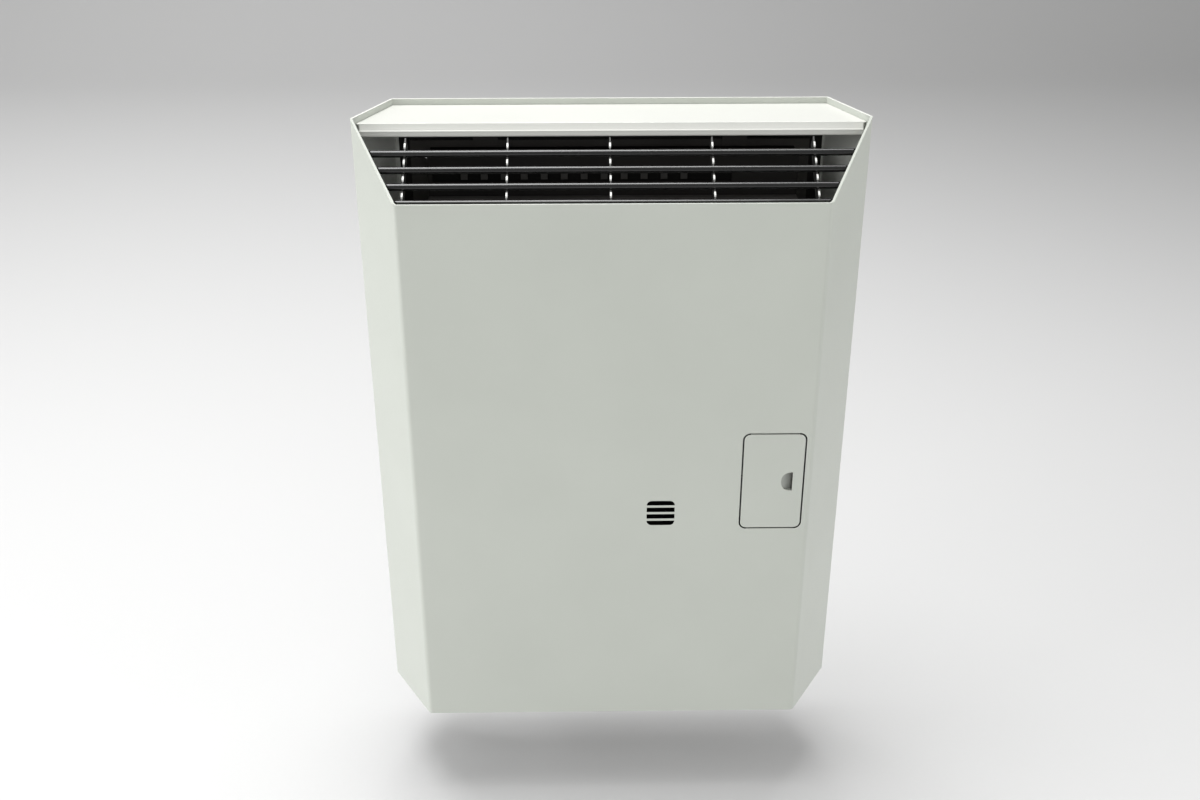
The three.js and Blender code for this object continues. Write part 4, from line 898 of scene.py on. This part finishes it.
def add_rib(work, angle):
    """A ridge along the knob's edge, with a narrow top."""
    outward = Vector((math.sin(angle), 0, math.cos(angle)))
    aside = Vector((math.cos(angle), 0, -math.sin(angle)))

    def corners(y):
        middle = knob_axis + Vector((0, y, 0))
        return [
            work.verts.new(middle + outward * reach + aside * (share * RIB_HALF))
            for share, reach in RIB_OUTLINE
        ]

    rear, front = corners(RIB_REAR), corners(RIB_FRONT)
    work.faces.new(rear)
    work.faces.new(front[::-1])
    for here in range(4):
        after = (here + 1) % 4
        work.faces.new((rear[after], rear[here], front[here], front[after]))


grip = merged_copy("thermostat_knob")
for shift, way in ((-LINE_HALF, (1, 0, 0)), (LINE_HALF, (1, 0, 0)), (LINE_FOOT, (0, 0, 1))):
    slice_at(grip, knob_axis + shift * Vector(way), way, lambda c: c.y < GRIP_FACE)
for rib in range(RIBS):
    add_rib(grip, (rib + 0.5) * math.tau / RIBS)
knob = soften(add_piece("knob", to_mesh(grip, "knob"), "thermostat_knob"), 0.15)
line = paint_faces(
    knob, "pointer",
    lambda c, n: c.y < GRIP_FACE and abs(c.x - KNOB[0]) < LINE_HALF and c.z > KNOB[1] + LINE_FOOT,
)
print("pointer faces:", line)

# %% [markdown]
# ## Everything behind the panels
#
# The remaining pieces keep their measured shape with rounded edges: the valve and its
# controls, the burner group, the ducts, the pipes and the frame on the wall. The parts in
# heatproof black are thin sheet and get a finer rounding.

# %% The working parts
done = {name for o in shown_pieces() for name in o.get("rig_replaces", [])}
for node in sorted(set(nodes) - done):
    fine = slot_of[node] == "exchanger"
    worked(node, node + "_made", 0.08 if fine else 0.25, 1 if fine else 2)

# %% [markdown]
# ## Painted light and shade on the hidden parts, rubbed lugs and a closed slit
#
# Little light reaches the black parts, so the level tops of the exchanger and the fronts of the
# frame's plates are painted mid grey, and the fronts of the crown dark grey, as painted light.
# The front of the sight glass frame is painted black, and the lugs of the strip are rubbed.
# The front of the control box's flange is painted black as painted shade, so the door's gap
# reads dark. The frame's plates reach a hair further than measured, because a slit of daylight
# beside them would show through the grille as a bright line.

# %% Finishes of the hidden parts
LUG_DEPTH, SHADED_FLANGE_FRONT, EXCHANGER_TOP = 0.3 * MM, -0.1445, 0.2
PLATE_HALF, PLATE_TOP = 0.192, 0.2775
PLATE_WIDER, PLATE_HIGHER = 0.95 * MM, 0.45 * MM
made = bpy.data.objects
strip, control_box, frame_plates = (
    made[node + "_made"] for node in ("slot_strip", "control_box", "wall_frame")
)
strip.data.materials[0] = finishes["strip"]
strip_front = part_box("slot_strip")[0].y
lugs = paint_faces(strip, "tab", lambda c, n: c.y < strip_front + LUG_DEPTH)
control_box.data.materials[0] = finishes["scale_panel"]
# painted shade: the front of the control box's flange is painted black, so the door's gap reads dark
shaded_flange = paint_faces(control_box, "exchanger", lambda c, n: faces_front(n) and c.y < SHADED_FLANGE_FRONT)
# the front faces of the sight glass frame are painted black
blackened_frame_fronts = paint_faces(made["sight_glass_frame_made"], "exchanger", lambda c, n: faces_front(n))
# painted light: the exchanger's level tops are painted mid grey
lightened_tops = paint_faces(
    made["heat_exchanger_made"], "light_shade_grey", lambda c, n: faces_up(n) and c.z > EXCHANGER_TOP,
)
# painted light: the crown's fronts get a dark grey that is lighter than the heatproof black
lightened_crown_fronts = paint_faces(made["exchanger_crown_made"], "crown", lambda c, n: faces_front(n))
for vert in frame_plates.data.vertices:
    if abs(abs(vert.co.x) - PLATE_HALF) < HAIR:
        vert.co.x += math.copysign(PLATE_WIDER, vert.co.x)
    if abs(vert.co.z - PLATE_TOP) < HAIR:
        vert.co.z += PLATE_HIGHER
# painted light: the fronts of the frame's plates are painted mid grey
lightened_plate_fronts = paint_faces(frame_plates, "light_shade_grey", lambda c, n: faces_front(n) and c.z > 0.0)
print("lugs:", lugs, "seal:", shaded_flange, "sooted:", blackened_frame_fronts, "tops:", lightened_tops)
print("crown fronts:", lightened_crown_fronts, "plate fronts:", lightened_plate_fronts)
